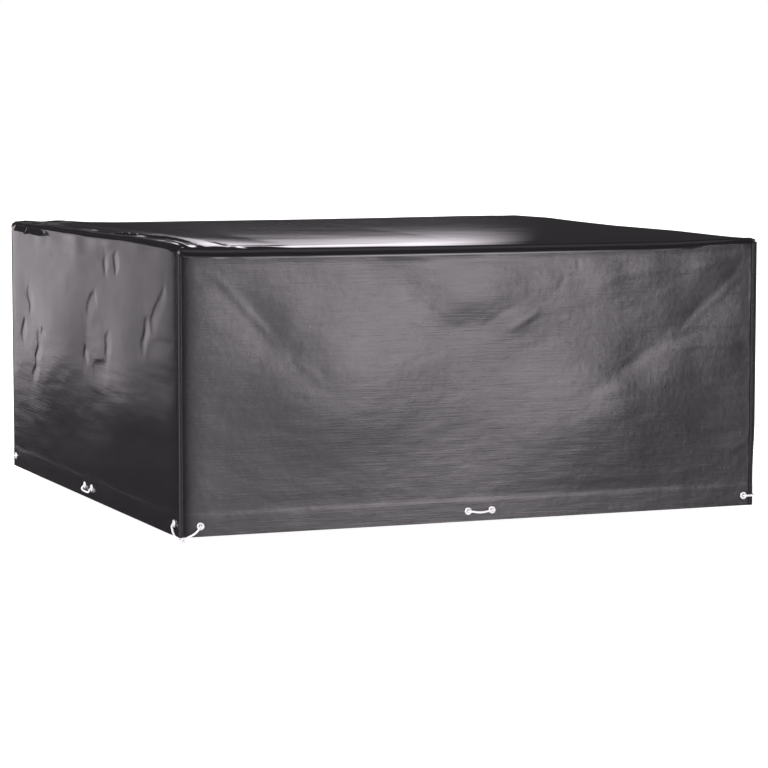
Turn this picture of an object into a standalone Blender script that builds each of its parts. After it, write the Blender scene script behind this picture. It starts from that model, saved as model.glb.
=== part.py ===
"""Fitted cover for patio furniture: a woven sheet box, open below, with eyelets and cord ties.

Metres, +Z up. The origin is the centre of the top panel's underside, where the covered furniture
carries the cover. The front wall faces -Y and the left wall faces -X. Each sheet is modelled in the
shape in which it hangs, with its rim, hem, bulges and main creases.
"""
import math

import bmesh
import bpy
from mathutils import Matrix, Vector
from mathutils.geometry import delaunay_2d_cdt

# Driving sizes
WIDTH = 1.600
DEPTH = 1.600
HEIGHT = 0.700
CLOTH = 0.002
GAP = 0.0003
LAYER = CLOTH + GAP

# Rim, corners and seams
RIM_RADIUS = 0.008
CORNER_RADIUS = 0.012
CORNER_STEPS = 3
SEAM_DROP = 0.015
SEAM_OVERLAP = 0.005
SIDE_LAP = 0.017
END_TUCK = CORNER_RADIUS
SIDE_LAYER = 1
END_LAYER = 2

# Hem, and how far from each seam a wall stays flat
HEM_HEIGHT = 0.055
HEAD_FLAT = 0.028
EDGE_FLAT = 0.045
STATION_STEP = 0.10
LATTICE_STEP = 0.095

# Eyelets and cord
EYELET_HOLE = 0.0050
EYELET_BARREL = 0.0060
EYELET_FLANGE = 0.0095
EYELET_WASHER = 0.0090
EYELET_HEIGHT = {"front": 0.026, "right": 0.026, "back": 0.026, "left": 0.031}
EYELET_SIDES = 12
EYELET_PROUD = 0.0014
WASHER_DEPTH = 0.0007
PAIR_SPACING = 0.066
PAIR_SHIFT = {"front": 0.005, "right": 0.0, "back": 0.0, "left": 0.0}
CORNER_OFFSET = 0.032
NEAR_FRONT_OFFSET = 0.058
NEAR_SIDE_OFFSET = 0.044
CORD_DIAMETER = 0.0050
CORD_POINT_STEP = 0.0110
CORD_TURN_STEP = math.radians(24)
CURVE_STEPS = 12
STOP_SWELL = 2.2
KNOT_RADIUS = 0.0068

# How far the rim stands above the front rim: (fraction of the side, rise). The front and back run
# from left to right, and the left and right sides from front to back.
RIM_RISE = {
    "front": ((0.00, 0.004), (0.07, 0.000), (0.55, 0.000), (1.00, 0.002)),
    "right": ((0.00, 0.002), (0.25, 0.007), (0.50, 0.010), (0.66, 0.015), (0.78, 0.020),
              (0.93, 0.020), (1.00, 0.014)),
    "back": ((0.00, 0.016), (0.03, 0.022), (0.055, 0.015), (0.085, 0.020), (0.14, 0.013),
             (0.20, 0.011), (0.55, 0.012), (0.90, 0.015), (0.95, 0.012), (1.00, 0.014)),
    "left": ((0.00, 0.004), (0.05, 0.014), (0.20, 0.015), (0.50, 0.013), (0.75, 0.017),
             (0.93, 0.012), (1.00, 0.016)),
}

# Creases: (depth outwards, half width, points). Points are (distance along the wall, height above
# the hem); the front and back count from their left end and the side walls from the front.
FRONT_CREASES = (
    (-0.0065, 0.030, ((0.07, 0.65), (0.16, 0.575), (0.20, 0.53), (0.26, 0.46))),
    (-0.0050, 0.028, ((0.30, 0.43), (0.38, 0.355))),
    (-0.0080, 0.032, ((0.54, 0.635), (0.62, 0.585), (0.74, 0.507))),
    (-0.0065, 0.030, ((0.74, 0.507), (0.83, 0.51), (0.88, 0.55), (0.935, 0.555))),
    (0.0060, 0.026, ((0.90, 0.495), (0.935, 0.53))),
    (0.0065, 0.032, ((1.16, 0.605), (1.29, 0.628), (1.43, 0.63), (1.53, 0.645))),
    (-0.0065, 0.030, ((1.53, 0.61), (1.43, 0.525), (1.39, 0.485))),
    (-0.0060, 0.034, ((1.345, 0.455), (1.21, 0.37), (1.11, 0.315))),
    (0.0050, 0.030, ((1.375, 0.425), (1.53, 0.42))),
)
LEFT_CREASES = (
    (-0.0070, 0.026, ((0.64, 0.65), (0.615, 0.61))),
    (-0.0070, 0.026, ((0.545, 0.655), (0.52, 0.615))),
    (-0.0065, 0.030, ((0.71, 0.56), (0.785, 0.52), (0.80, 0.50))),
    (-0.0065, 0.030, ((0.11, 0.605), (0.15, 0.57), (0.225, 0.51))),
    (-0.0065, 0.028, ((0.275, 0.51), (0.27, 0.49), (0.31, 0.45))),
    (-0.0070, 0.032, ((1.42, 0.52), (1.385, 0.495), (1.385, 0.465))),
    (-0.0070, 0.030, ((1.30, 0.42), (1.29, 0.38), (1.33, 0.345), (1.37, 0.285))),
    (-0.0070, 0.030, ((1.44, 0.445), (1.49, 0.395))),
    (-0.0065, 0.028, ((0.81, 0.415), (0.83, 0.375))),
    (-0.0065, 0.028, ((0.625, 0.455), (0.61, 0.43), (0.62, 0.40))),
    (0.0060, 0.030, ((1.19, 0.655), (0.90, 0.645))),
)
RIGHT_CREASES = (
    (-0.0070, 0.032, ((0.12, 0.62), (0.22, 0.54), (0.28, 0.45))),
    (-0.0065, 0.030, ((0.98, 0.62), (0.86, 0.53), (0.80, 0.50))),
    (0.0060, 0.032, ((1.25, 0.60), (1.42, 0.63))),
)
BACK_CREASES = (
    (-0.0070, 0.032, ((0.08, 0.64), (0.18, 0.55), (0.27, 0.46))),
    (-0.0070, 0.032, ((1.05, 0.63), (0.93, 0.54), (0.84, 0.51))),
    (-0.0065, 0.032, ((1.52, 0.60), (1.40, 0.49), (1.30, 0.44))),
)
# Creases of the top, in distances from the left and front edges: a long swell inside the left rim
# that runs out over the near corner, folds beside it, and lines between the seats below.
TOP_CREASES = (
    (0.0050, 0.040, ((0.055, 1.45), (0.050, 0.90), (0.055, 0.45), (0.075, 0.20), (0.120, 0.06))),
    (-0.0040, 0.028, ((0.105, 0.42), (0.125, 0.20), (0.170, 0.07))),
    (0.0030, 0.026, ((0.165, 0.26), (0.190, 0.12), (0.240, 0.05))),
    (-0.0040, 0.050, ((0.30, 0.80), (0.80, 0.82), (1.35, 0.78))),
    (-0.0030, 0.050, ((0.82, 0.25), (0.80, 0.80), (0.83, 1.38))),
)

# Broad bulges: (height outwards, along, up, half width along, half height)
FRONT_BULGES = (
    (0.0100, 0.42, 0.34, 0.36, 0.26),
    (0.0085, 1.15, 0.26, 0.38, 0.22),
    (0.0060, 0.80, 0.56, 0.26, 0.10),
)
LEFT_BULGES = (
    (0.0100, 0.42, 0.30, 0.34, 0.24),
    (0.0095, 1.12, 0.38, 0.36, 0.26),
    (0.0050, 0.95, 0.60, 0.20, 0.08),
)
RIGHT_BULGES = (
    (0.0100, 0.50, 0.32, 0.38, 0.25),
    (0.0085, 1.20, 0.30, 0.30, 0.24),
)
BACK_BULGES = (
    (0.0095, 0.45, 0.30, 0.36, 0.25),
    (0.0095, 1.18, 0.34, 0.34, 0.25),
)

SHEET_COLOR = (0.035, 0.034, 0.036)
METAL_COLOR = (0.72, 0.72, 0.72)
CORD_COLOR = (0.86, 0.86, 0.85)


def clear_scene():
    for item in list(bpy.data.objects):
        bpy.data.objects.remove(item, do_unlink=True)


def make_material(name, color, roughness, metallic=0.0):
    material = bpy.data.materials.new(name)
    material.use_nodes = True
    shader = material.node_tree.nodes["Principled BSDF"]
    shader.inputs["Base Color"].default_value = (*color, 1.0)
    shader.inputs["Roughness"].default_value = roughness
    shader.inputs["Metallic"].default_value = metallic
    return material


def add_object(name, mesh_or_curve, material):
    mesh_or_curve.materials.append(material)
    item = bpy.data.objects.new(name, mesh_or_curve)
    bpy.context.scene.collection.objects.link(item)
    return item


def table_value(table, fraction):
    """Read a (fraction, value) table by straight lines between its rows."""
    for (low, start), (high, end) in zip(table, table[1:]):
        if fraction <= high:
            return start + (end - start) * (fraction - low) / (high - low)
    return table[-1][1]


def ease(value):
    value = min(max(value, 0.0), 1.0)
    return value * value * (3.0 - 2.0 * value)


def segment_distance(point, start, end):
    """Distance from a 2D point to a segment."""
    run = end - start
    part = min(max((point - start).dot(run) / run.length_squared, 0.0), 1.0)
    return (point - start - run * part).length


def relief(creases, bulges, along, up):
    """How far a sheet stands out at one place, from its creases and broad bulges."""
    place = Vector((along, up))
    folds = [0.0]
    for depth, half_width, points in creases:
        spots = [Vector(point) for point in points]
        nearest = min(segment_distance(place, a, b) for a, b in zip(spots, spots[1:]))
        folds.append(depth * ease(1.0 - nearest / half_width))
    total = min(folds) + max(folds)
    for height, centre_along, centre_up, half_along, half_up in bulges:
        reach = math.hypot((along - centre_along) / half_along, (up - centre_up) / half_up)
        total += height * ease(1.0 - reach)
    return total


def stations(length, table, step=STATION_STEP):
    """Distances along a side: even steps, and every row of its rim table."""
    count = round(length / step)
    places = {round(length * index / count, 5) for index in range(count + 1)}
    places |= {round(length * fraction, 5) for fraction, _ in table}
    kept = []
    for place in sorted(places):
        if kept and place - kept[-1] < 0.012:
            continue
        kept.append(place)
    return kept


# --- the top panel's heights -------------------------------------------------------------------

INNER_WIDTH = WIDTH - 2.0 * RIM_RADIUS
INNER_DEPTH = DEPTH - 2.0 * RIM_RADIUS


def crown(across, deep):
    """Rise of the top above the front rim, blended from the four rims (fractions 0 to 1)."""
    front = table_value(RIM_RISE["front"], across)
    back = table_value(RIM_RISE["back"], across)
    left = table_value(RIM_RISE["left"], deep)
    right = table_value(RIM_RISE["right"], deep)
    corners = ((1 - across) * (1 - deep) * RIM_RISE["front"][0][1]
               + across * (1 - deep) * RIM_RISE["front"][-1][1]
               + (1 - across) * deep * RIM_RISE["back"][0][1]
               + across * deep * RIM_RISE["back"][-1][1])
    return (1 - deep) * front + deep * back + (1 - across) * left + across * right - corners


FRONT_RIM_Z = CLOTH - crown(0.5, 0.5)
HEM_Z = FRONT_RIM_Z - HEIGHT


def eyelet_z(side):
    return HEM_Z + EYELET_HEIGHT[side]


def rim_z(side, fraction):
    return FRONT_RIM_Z + table_value(RIM_RISE[side], fraction)


def seam_z(side, fraction):
    return rim_z(side, fraction) - SEAM_DROP


def top_z(x, y):
    """Height of the top's upper face, level with the rim all round and creased inside it."""
    across = min(max((x + INNER_WIDTH / 2) / INNER_WIDTH, 0.0), 1.0)
    deep = min(max((y + INNER_DEPTH / 2) / INNER_DEPTH, 0.0), 1.0)
    inset = min(across, 1 - across, deep, 1 - deep) * WIDTH
    folds = relief(TOP_CREASES, (), x + WIDTH / 2, y + DEPTH / 2)
    return FRONT_RIM_Z + crown(across, deep) + folds * ease(inset / 0.03)


# --- sheets from a flat triangulation ----------------------------------------------------------

def crease_points(creases):
    """Points along each crease and at both of its flanks, where the sheet turns."""
    places = []
    for _, half_width, points in creases:
        spots = [Vector(point) for point in points]
        for index, spot in enumerate(spots):
            before = spots[max(index - 1, 0)]
            after = spots[min(index + 1, len(spots) - 1)]
            normal = (after - before).orthogonal().normalized()
            places.append(spot)
            places.append(spot + normal * half_width)
            places.append(spot - normal * half_width)
    return places


def hole_ring(centre, radius, sides=EYELET_SIDES):
    turns = [2 * math.pi * index / sides for index in range(sides)]
    return [centre + radius * Vector((math.cos(turn), math.sin(turn))) for turn in turns]


def loop_edges(first, count):
    return [(first + index, first + (index + 1) % count) for index in range(count)]


def triangulate(outline, inner_points, bends=(), hole_centres=(), hole_radius=0.0):
    """Triangulate an outline with round holes, through the given inner points.

    The outline's own points come first in the result, in their order. Each bend is a pair of them
    that a straight edge joins.
    """
    points = list(outline)
    edges = loop_edges(0, len(outline)) + list(bends)
    for centre in hole_centres:
        ring = hole_ring(centre, hole_radius)
        edges += loop_edges(len(points), len(ring))
        points += ring
    points += inner_points
    verts, _, faces, _, _, _ = delaunay_2d_cdt(points, edges, [], 1, 1e-6)
    kept = []
    for face in faces:
        middle = sum((verts[index] for index in face), Vector((0.0, 0.0))) / len(face)
        if all((middle - centre).length > 0.95 * hole_radius for centre in hole_centres):
            kept.append(face)
    return verts, kept


def thicken(sheet, outward):
    """Give an open sheet its thickness on the side away from `outward`, and close its edges."""
    bmesh.ops.recalc_face_normals(sheet, faces=sheet.faces)
    if sum(face.normal.dot(outward(face.calc_center_median())) for face in sheet.faces) < 0:
        bmesh.ops.reverse_faces(sheet, faces=sheet.faces)
    sheet.normal_update()
    outer = list(sheet.verts)
    outer_faces = list(sheet.faces)
    rim = [edge for edge in sheet.edges if edge.is_boundary]
    pairs = {vert: sheet.verts.new(vert.co - vert.normal * CLOTH) for vert in outer}
    for face in outer_faces:
        sheet.faces.new([pairs[vert] for vert in reversed(face.verts)])
    for edge in rim:
        loop = edge.link_loops[0]
        start, end = loop.vert, loop.link_loop_next.vert
        sheet.faces.new([end, start, pairs[start], pairs[end]])


def face_outwards(solid):
    bmesh.ops.recalc_face_normals(solid, faces=solid.faces)
    if solid.calc_volume(signed=True) < 0:
        bmesh.ops.reverse_faces(solid, faces=solid.faces)


def finish_sheet(name, sheet, material):
    face_outwards(sheet)
    mesh = bpy.data.meshes.new(name)
    sheet.to_mesh(mesh)
    sheet.free()
    mesh.shade_smooth()
    mesh.set_sharp_from_angle(angle=math.radians(50))
    return add_object(name, mesh, material)


# --- the top panel -----------------------------------------------------------------------------

def rim_stations():
    """Places round the rim: (x, y, angle of the outward normal, rim height), anticlockwise."""
    half_x, half_y = WIDTH / 2, DEPTH / 2
    sides = (
        ("front", -90, lambda s: (s - half_x, -half_y), WIDTH),
        ("right", 0, lambda s: (half_x, s - half_y), DEPTH),
        ("back", 90, lambda s: (s - half_x, half_y), WIDTH),
        ("left", 180, lambda s: (-half_x, s - half_y), DEPTH),
    )
    rim = []
    for side, angle, place, length in sides:
        along = [s for s in stations(length, RIM_RISE[side]) if 0.015 < s < length - 0.015]
        along = [CORNER_RADIUS] + along + [length - CORNER_RADIUS]
        if side in ("back", "left"):
            along.reverse()
        for s in along:
            x, y = place(s)
            rim.append((x, y, math.radians(angle), rim_z(side, s / length)))
        corner_x, corner_y, _, _ = rim[-1]
        turn_start = math.radians(angle)
        centre = Vector((corner_x, corner_y)) - CORNER_RADIUS * Vector(
            (math.cos(turn_start), math.sin(turn_start)))
        for step in range(1, CORNER_STEPS):
            turn = turn_start + math.radians(90) * step / CORNER_STEPS
            spot = centre + CORNER_RADIUS * Vector((math.cos(turn), math.sin(turn)))
            rim.append((spot.x, spot.y, turn, rim[-1][3]))
    return rim


def make_top(material):
    rim = rim_stations()
    inner = [Vector((x, y)) - RIM_RADIUS * Vector((math.cos(a), math.sin(a))) for x, y, a, _ in rim]
    count_x = round(INNER_WIDTH / 0.16)
    count_y = round(INNER_DEPTH / 0.16)
    places = [Vector((-INNER_WIDTH / 2 + INNER_WIDTH * i / count_x,
                      -INNER_DEPTH / 2 + INNER_DEPTH * j / count_y))
              for i in range(1, count_x) for j in range(1, count_y)]
    places += [spot - Vector((WIDTH / 2, DEPTH / 2)) for spot in crease_points(TOP_CREASES)]
    flat, faces = triangulate(inner, places)
    sheet = bmesh.new()
    verts = []
    for index, spot in enumerate(flat):
        height = rim[index][3] if index < len(rim) else top_z(spot.x, spot.y)
        verts.append(sheet.verts.new((spot.x, spot.y, height)))
    for face in faces:
        sheet.faces.new([verts[index] for index in face])
    ring = verts[:len(rim)]
    section = [(math.sin(math.radians(t)), 1 - math.cos(math.radians(t))) for t in (35, 65, 90)]
    levels = [(RIM_RADIUS * out, RIM_RADIUS * down) for out, down in section]
    levels.append((RIM_RADIUS, SEAM_DROP))
    for out, down in levels:
        below = []
        for (_, _, angle, height), start in zip(rim, inner):
            spot = start + out * Vector((math.cos(angle), math.sin(angle)))
            below.append(sheet.verts.new((spot.x, spot.y, height - down)))
        for index in range(len(ring)):
            after = (index + 1) % len(ring)
            sheet.faces.new([ring[index], ring[after], below[after], below[index]])
        ring = below
    thicken(sheet, lambda place: Vector((place.x, place.y, 1.0)))
    return finish_sheet("top_panel", sheet, material)


# --- the walls ---------------------------------------------------------------------------------

def end_place(side, along, height, out):
    """A place on the front or back wall, `out` from its outer face."""
    facing = -1 if side == "front" else 1
    depth = DEPTH / 2 - END_LAYER * LAYER + out
    return Vector((along - WIDTH / 2, facing * depth, height))


def side_place(side, along, height, out):
    """A place on the left or right wall, which wraps round the corner at each end."""
    facing = -1 if side == "left" else 1
    radius = CORNER_RADIUS - SIDE_LAYER * LAYER
    mirrored = along > DEPTH / 2
    run = DEPTH - along if mirrored else along
    if run >= CORNER_RADIUS:
        forward, proud = run, -SIDE_LAYER * LAYER + out
    else:
        turn = min((CORNER_RADIUS - run) / radius, math.pi / 2)
        past = max(CORNER_RADIUS - run - radius * math.pi / 2, 0.0)
        forward = CORNER_RADIUS - (radius + out) * math.sin(turn)
        proud = -CORNER_RADIUS + (radius + out) * math.cos(turn) - past
    y = DEPTH / 2 - forward if mirrored else forward - DEPTH / 2
    return Vector((facing * (WIDTH / 2 + proud), y, height))


SIDE_RADIUS = CORNER_RADIUS - SIDE_LAYER * LAYER
SIDE_START = CORNER_RADIUS - SIDE_RADIUS * math.pi / 2 - (SIDE_LAP - CORNER_RADIUS)

WALLS = {
    "front": {"place": end_place, "start": END_TUCK, "end": WIDTH - END_TUCK, "length": WIDTH,
              "creases": FRONT_CREASES, "bulges": FRONT_BULGES,
              "corner_eyelets": (NEAR_FRONT_OFFSET, CORNER_OFFSET)},
    "right": {"place": side_place, "start": SIDE_START, "end": DEPTH - SIDE_START, "length": DEPTH,
              "creases": RIGHT_CREASES, "bulges": RIGHT_BULGES,
              "corner_eyelets": (CORNER_OFFSET, CORNER_OFFSET)},
    "back": {"place": end_place, "start": END_TUCK, "end": WIDTH - END_TUCK, "length": WIDTH,
             "creases": BACK_CREASES, "bulges": BACK_BULGES,
             "corner_eyelets": (CORNER_OFFSET, CORNER_OFFSET)},
    "left": {"place": side_place, "start": SIDE_START, "end": DEPTH - SIDE_START, "length": DEPTH,
             "creases": LEFT_CREASES, "bulges": LEFT_BULGES,
             "corner_eyelets": (NEAR_SIDE_OFFSET, CORNER_OFFSET)},
}


def eyelet_places(side):
    """Distances along a wall of its four eyelets: one by each corner and a pair at the middle."""
    wall = WALLS[side]
    first, last = wall["corner_eyelets"]
    middle = wall["length"] / 2 + PAIR_SHIFT[side]
    return {
        "near": first,
        "mid_a": middle - PAIR_SPACING / 2,
        "mid_b": middle + PAIR_SPACING / 2,
        "far": wall["length"] - last,
    }


def wall_head(side, along):
    """Height of a wall's top edge, which runs up under the top panel's rim."""
    length = WALLS[side]["length"]
    inset = min(max(along, CORNER_RADIUS), length - CORNER_RADIUS)
    return seam_z(side, inset / length) + SEAM_OVERLAP


def wall_relief(side, along, height):
    """A wall's relief, faded out at its head, hem and ends so that its seams lie flat."""
    wall = WALLS[side]
    head = ease((wall_head(side, along) - height - HEAD_FLAT) / 0.05)
    hem = ease((height - HEM_Z - HEM_HEIGHT) / 0.05)
    from_end = min(along, wall["length"] - along)
    ends = ease((from_end - EDGE_FLAT) / 0.05)
    return head * hem * ends * relief(wall["creases"], wall["bulges"], along, height - HEM_Z)


def wall_columns(side):
    """Distances along a wall where its edges have points, round its corners too."""
    wall = WALLS[side]
    inner = [s for s in stations(wall["length"], RIM_RISE[side])
             if 0.015 < s < wall["length"] - 0.015]
    columns = [CORNER_RADIUS] + inner + [wall["length"] - CORNER_RADIUS]
    if wall["place"] is side_place:
        turns = [SIDE_RADIUS * math.pi / 2 * step / CORNER_STEPS for step in range(1, CORNER_STEPS + 1)]
        bends = [CORNER_RADIUS - turn for turn in turns] + [SIDE_START]
        columns = sorted(bends) + columns + sorted(wall["length"] - bend for bend in bends)
    else:
        columns[0], columns[-1] = wall["start"], wall["end"]
    return columns


def wall_outline(side, columns):
    hem = [Vector((s, HEM_Z)) for s in columns]
    head = [Vector((s, wall_head(side, s))) for s in columns]
    return hem + head[::-1]


def wall_bends(side, columns):
    """Pairs of outline points, hem and head, that upright edges join round the corners."""
    last = 2 * len(columns) - 1
    length = WALLS[side]["length"]
    return [(index, last - index) for index, s in enumerate(columns)
            if min(s, length - s) <= CORNER_RADIUS + 1e-6 and 0 < index < len(columns) - 1]


def wall_points(side, columns):
    """Inner points: a lattice, the rows along hem and head, and the creases."""
    wall = WALLS[side]
    rows = 5
    points = []
    for s in columns:
        points.append(Vector((s, HEM_Z + HEM_HEIGHT)))
        points.append(Vector((s, wall_head(side, s) - HEAD_FLAT)))
    count = round(wall["length"] / LATTICE_STEP)
    for i in range(1, count):
        along = wall["length"] * i / count
        low = HEM_Z + HEM_HEIGHT
        high = wall_head(side, along) - HEAD_FLAT
        shift = 0.5 * LATTICE_STEP if i % 2 else 0.0
        for j in range(1, rows + 1):
            height = low + (high - low) * j / (rows + 1) + shift * 0.5
            points.append(Vector((along, height)))
    for spot in crease_points(wall["creases"]):
        points.append(Vector((spot.x, HEM_Z + spot.y)))
    low = HEM_Z + 0.005
    inside = []
    for spot in points:
        from_end = min(spot.x, wall["length"] - spot.x)
        below_head = wall_head(side, spot.x) - spot.y
        crowd = any((spot - other).length < 0.016 for other in inside)
        if from_end > 0.02 and below_head > 0.015 and spot.y > low and not crowd:
            inside.append(spot)
    return inside


def make_wall(side, material):
    wall = WALLS[side]
    columns = wall_columns(side)
    outline = wall_outline(side, columns)
    holes = [Vector((along, eyelet_z(side))) for along in eyelet_places(side).values()]
    flat, faces = triangulate(outline, wall_points(side, columns), wall_bends(side, columns),
                              holes, EYELET_BARREL + GAP)
    sheet = bmesh.new()
    verts = []
    for spot in flat:
        out = wall_relief(side, spot.x, spot.y)
        verts.append(sheet.verts.new(wall["place"](side, spot.x, spot.y, out)))
    for face in faces:
        sheet.faces.new([verts[index] for index in face])
    thicken(sheet, lambda place: Vector((place.x, place.y, 0.0)))
    return finish_sheet(side + "_panel", sheet, material)


# --- eyelets -----------------------------------------------------------------------------------

def eyelet_mesh():
    """A flanged eyelet whose axis is +X, outwards; the cloth's outer face is at X = 0."""
    back = -CLOTH - GAP
    profile = (
        (EYELET_HOLE, EYELET_PROUD * 0.7),
        (EYELET_BARREL + 0.0006, EYELET_PROUD + GAP),
        (EYELET_FLANGE, GAP + 0.0005),
        (EYELET_FLANGE, GAP),
        (EYELET_BARREL, GAP),
        (EYELET_BARREL, back),
        (EYELET_WASHER, back),
        (EYELET_WASHER, back - WASHER_DEPTH),
        (EYELET_HOLE, back - WASHER_DEPTH),
    )
    ring = bmesh.new()
    rings = []
    for index in range(EYELET_SIDES):
        turn = 2 * math.pi * index / EYELET_SIDES
        rings.append([ring.verts.new((x, r * math.cos(turn), r * math.sin(turn)))
                      for r, x in profile])
    for index in range(EYELET_SIDES):
        here, after = rings[index], rings[(index + 1) % EYELET_SIDES]
        for step in range(len(profile)):
            following = (step + 1) % len(profile)
            ring.faces.new([here[step], here[following], after[following], after[step]])
    face_outwards(ring)
    mesh = bpy.data.meshes.new("eyelet")
    ring.to_mesh(mesh)
    ring.free()
    mesh.shade_smooth()
    mesh.set_sharp_from_angle(angle=math.radians(35))
    return mesh


FACING = {"front": -90, "right": 0, "back": 90, "left": 180}


def make_eyelets(material):
    mesh = eyelet_mesh()
    mesh.materials.append(material)
    for side, wall in WALLS.items():
        for key, along in eyelet_places(side).items():
            item = bpy.data.objects.new("eyelet_" + side + "_" + key, mesh)
            item.location = wall["place"](side, along, eyelet_z(side), 0.0)
            item.rotation_euler.z = math.radians(FACING[side])
            bpy.context.scene.collection.objects.link(item)


# --- cord ties ---------------------------------------------------------------------------------

# The inner end of a cord, swollen into its stop behind the eyelet: (distance out, radius factor)
STOP = ((-0.0175, 1.0), (-0.0120, 1.0), (-0.0100, STOP_SWELL), (-0.0046, STOP_SWELL), (-0.0028, 1.0))

# Routes between two eyelets of one wall: (distance from the pair's middle as a fraction of half
# its spacing, height above the eyelets, distance out from the cloth)
TAUT_ROUTE = (
    (-0.97, 0.0000, 0.0014), (-0.84, -0.0004, 0.0052), (-0.66, -0.0012, 0.0060),
    (-0.34, -0.0030, 0.0061), (0.00, -0.0038, 0.0061), (0.34, -0.0030, 0.0061),
    (0.66, -0.0012, 0.0060), (0.84, -0.0004, 0.0052), (0.97, 0.0000, 0.0014),
)
SLACK_ROUTE = (
    (-0.99, -0.0012, 0.0016), (-1.02, -0.0056, 0.0062), (-0.92, -0.0100, 0.0070),
    (-0.66, -0.0122, 0.0070), (-0.30, -0.0130, 0.0068), (0.15, -0.0132, 0.0068),
    (0.60, -0.0130, 0.0069), (0.90, -0.0122, 0.0071), (1.06, -0.0096, 0.0072),
    (1.03, -0.0052, 0.0062), (0.99, -0.0012, 0.0016),
)


def smooth_route(points):
    """Places along a smooth curve through the given points, closer together where it bends."""
    ends = [points[0] * 2 - points[1]] + points + [points[-1] * 2 - points[-2]]
    dense = []
    for before, start, end, after in zip(ends, ends[1:], ends[2:], ends[3:]):
        for index in range(CURVE_STEPS):
            t = index / CURVE_STEPS
            bend = (2 * before - 5 * start + 4 * end - after) * t * t
            twist = (3 * start - before - 3 * end + after) * t ** 3
            dense.append(0.5 * (2 * start + (end - before) * t + bend + twist))
    dense.append(points[-1])
    places = [dense[0]]
    heading = dense[1] - dense[0]
    for spot, after in zip(dense[1:], dense[2:]):
        run = (spot - places[-1]).length
        turn = heading.angle(after - spot)
        if run > CORD_POINT_STEP or (turn > CORD_TURN_STEP and run > CORD_DIAMETER / 2):
            places.append(spot)
            heading = after - spot
    if (places[-1] - dense[-1]).length < CORD_DIAMETER / 2:
        places.pop()
    places.append(dense[-1])
    return places


def make_tube(name, places, radii, material):
    curve = bpy.data.curves.new(name, "CURVE")
    curve.dimensions = "3D"
    curve.bevel_depth = CORD_DIAMETER / 2
    curve.bevel_resolution = 2
    curve.use_fill_caps = True
    spline = curve.splines.new("POLY")
    spline.points.add(len(places) - 1)
    for point, place, radius in zip(spline.points, places, radii):
        point.co = (*place, 1.0)
        point.radius = radius
    return add_object(name, curve, material)


def stop_places(side, along):
    place = WALLS[side]["place"]
    places = [place(side, along, eyelet_z(side), out) for out, _ in STOP]
    return places, [radius for _, radius in STOP]


def make_tie(name, first, route, last, material):
    """A cord from the stop behind one eyelet, along its route, to the stop behind another."""
    places, radii = stop_places(*first)
    run = smooth_route([places[-1]] + route + ([stop_places(*last)[0][-1]] if last else []))
    places += run[1:]
    radii += [1.0] * (len(run) - 1)
    if last:
        back_places, back_radii = stop_places(*last)
        places += back_places[::-1][1:]
        radii += back_radii[::-1][1:]
    return make_tube(name, places, radii, material)


def make_middle_ties(material):
    for side, wall in WALLS.items():
        places = eyelet_places(side)
        middle = (places["mid_a"] + places["mid_b"]) / 2
        shape = SLACK_ROUTE if side == "left" else TAUT_ROUTE
        route = [wall["place"](side, middle + part * PAIR_SPACING / 2, eyelet_z(side) + up, out)
                 for part, up, out in shape]
        ends = (side, places["mid_a"]), (side, places["mid_b"])
        make_tie("tie_" + side + "_mid", ends[0], route, ends[1], material)


# A corner tie's lead from its eyelet: (distance towards the corner, distance out from the cloth)
CORNER_LEAD = ((0.0008, 0.0016), (0.0056, 0.0054), (0.0110, 0.0061))
CORNER_REACH = SIDE_RADIUS + CORD_DIAMETER / 2 + 0.0008


def corner_route(end, side):
    """Round a corner, from an eyelet on the front or back wall to one on a side wall."""
    turn_x = 1 if end[1] > WIDTH / 2 else -1
    turn_y = 1 if side[1] > DEPTH / 2 else -1
    route = [end_place(end[0], end[1] + turn_x * run, eyelet_z(end[0]), out)
             for run, out in CORNER_LEAD]
    centre = Vector((turn_x * (WIDTH / 2 - CORNER_RADIUS), turn_y * (DEPTH / 2 - CORNER_RADIUS),
                     (eyelet_z(end[0]) + eyelet_z(side[0])) / 2))
    for degrees in (10, 45, 80):
        turn = math.radians(degrees)
        spoke = Vector((turn_x * math.sin(turn), turn_y * math.cos(turn), 0.0))
        route.append(centre + CORNER_REACH * spoke)
    route += [side_place(side[0], side[1] + turn_y * run, eyelet_z(side[0]), out)
              for run, out in reversed(CORNER_LEAD)]
    return route


def make_corner_ties(material):
    corners = (
        ("tie_front_right", "front", "far", "right", "near"),
        ("tie_back_right", "back", "far", "right", "far"),
        ("tie_back_left", "back", "near", "left", "far"),
    )
    for name, end_side, end_key, side_side, side_key in corners:
        end = (end_side, eyelet_places(end_side)[end_key])
        side = (side_side, eyelet_places(side_side)[side_key])
        make_tie(name, end, corner_route(end, side), side, material)


# --- the near corner's knotted tie -------------------------------------------------------------

KNOT_PLACE = Vector((-WIDTH / 2 + 0.0060, -DEPTH / 2 - 0.0075, HEM_Z - 0.0060))

# Each strand: points after the eyelet's mouth, as (distance towards the corner, height, out)
NEAR_FRONT_LEAD = ((0.0008, -0.0006, 0.0018), (0.0052, -0.0046, 0.0064), (0.0140, -0.0134, 0.0080),
                   (0.0260, -0.0204, 0.0088), (0.0380, -0.0254, 0.0092))
NEAR_SIDE_LEAD = ((0.0002, -0.0010, 0.0018), (0.0026, -0.0056, 0.0064), (0.0110, -0.0134, 0.0076),
                  (0.0240, -0.0214, 0.0086), (0.0350, -0.0272, 0.0096))
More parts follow.
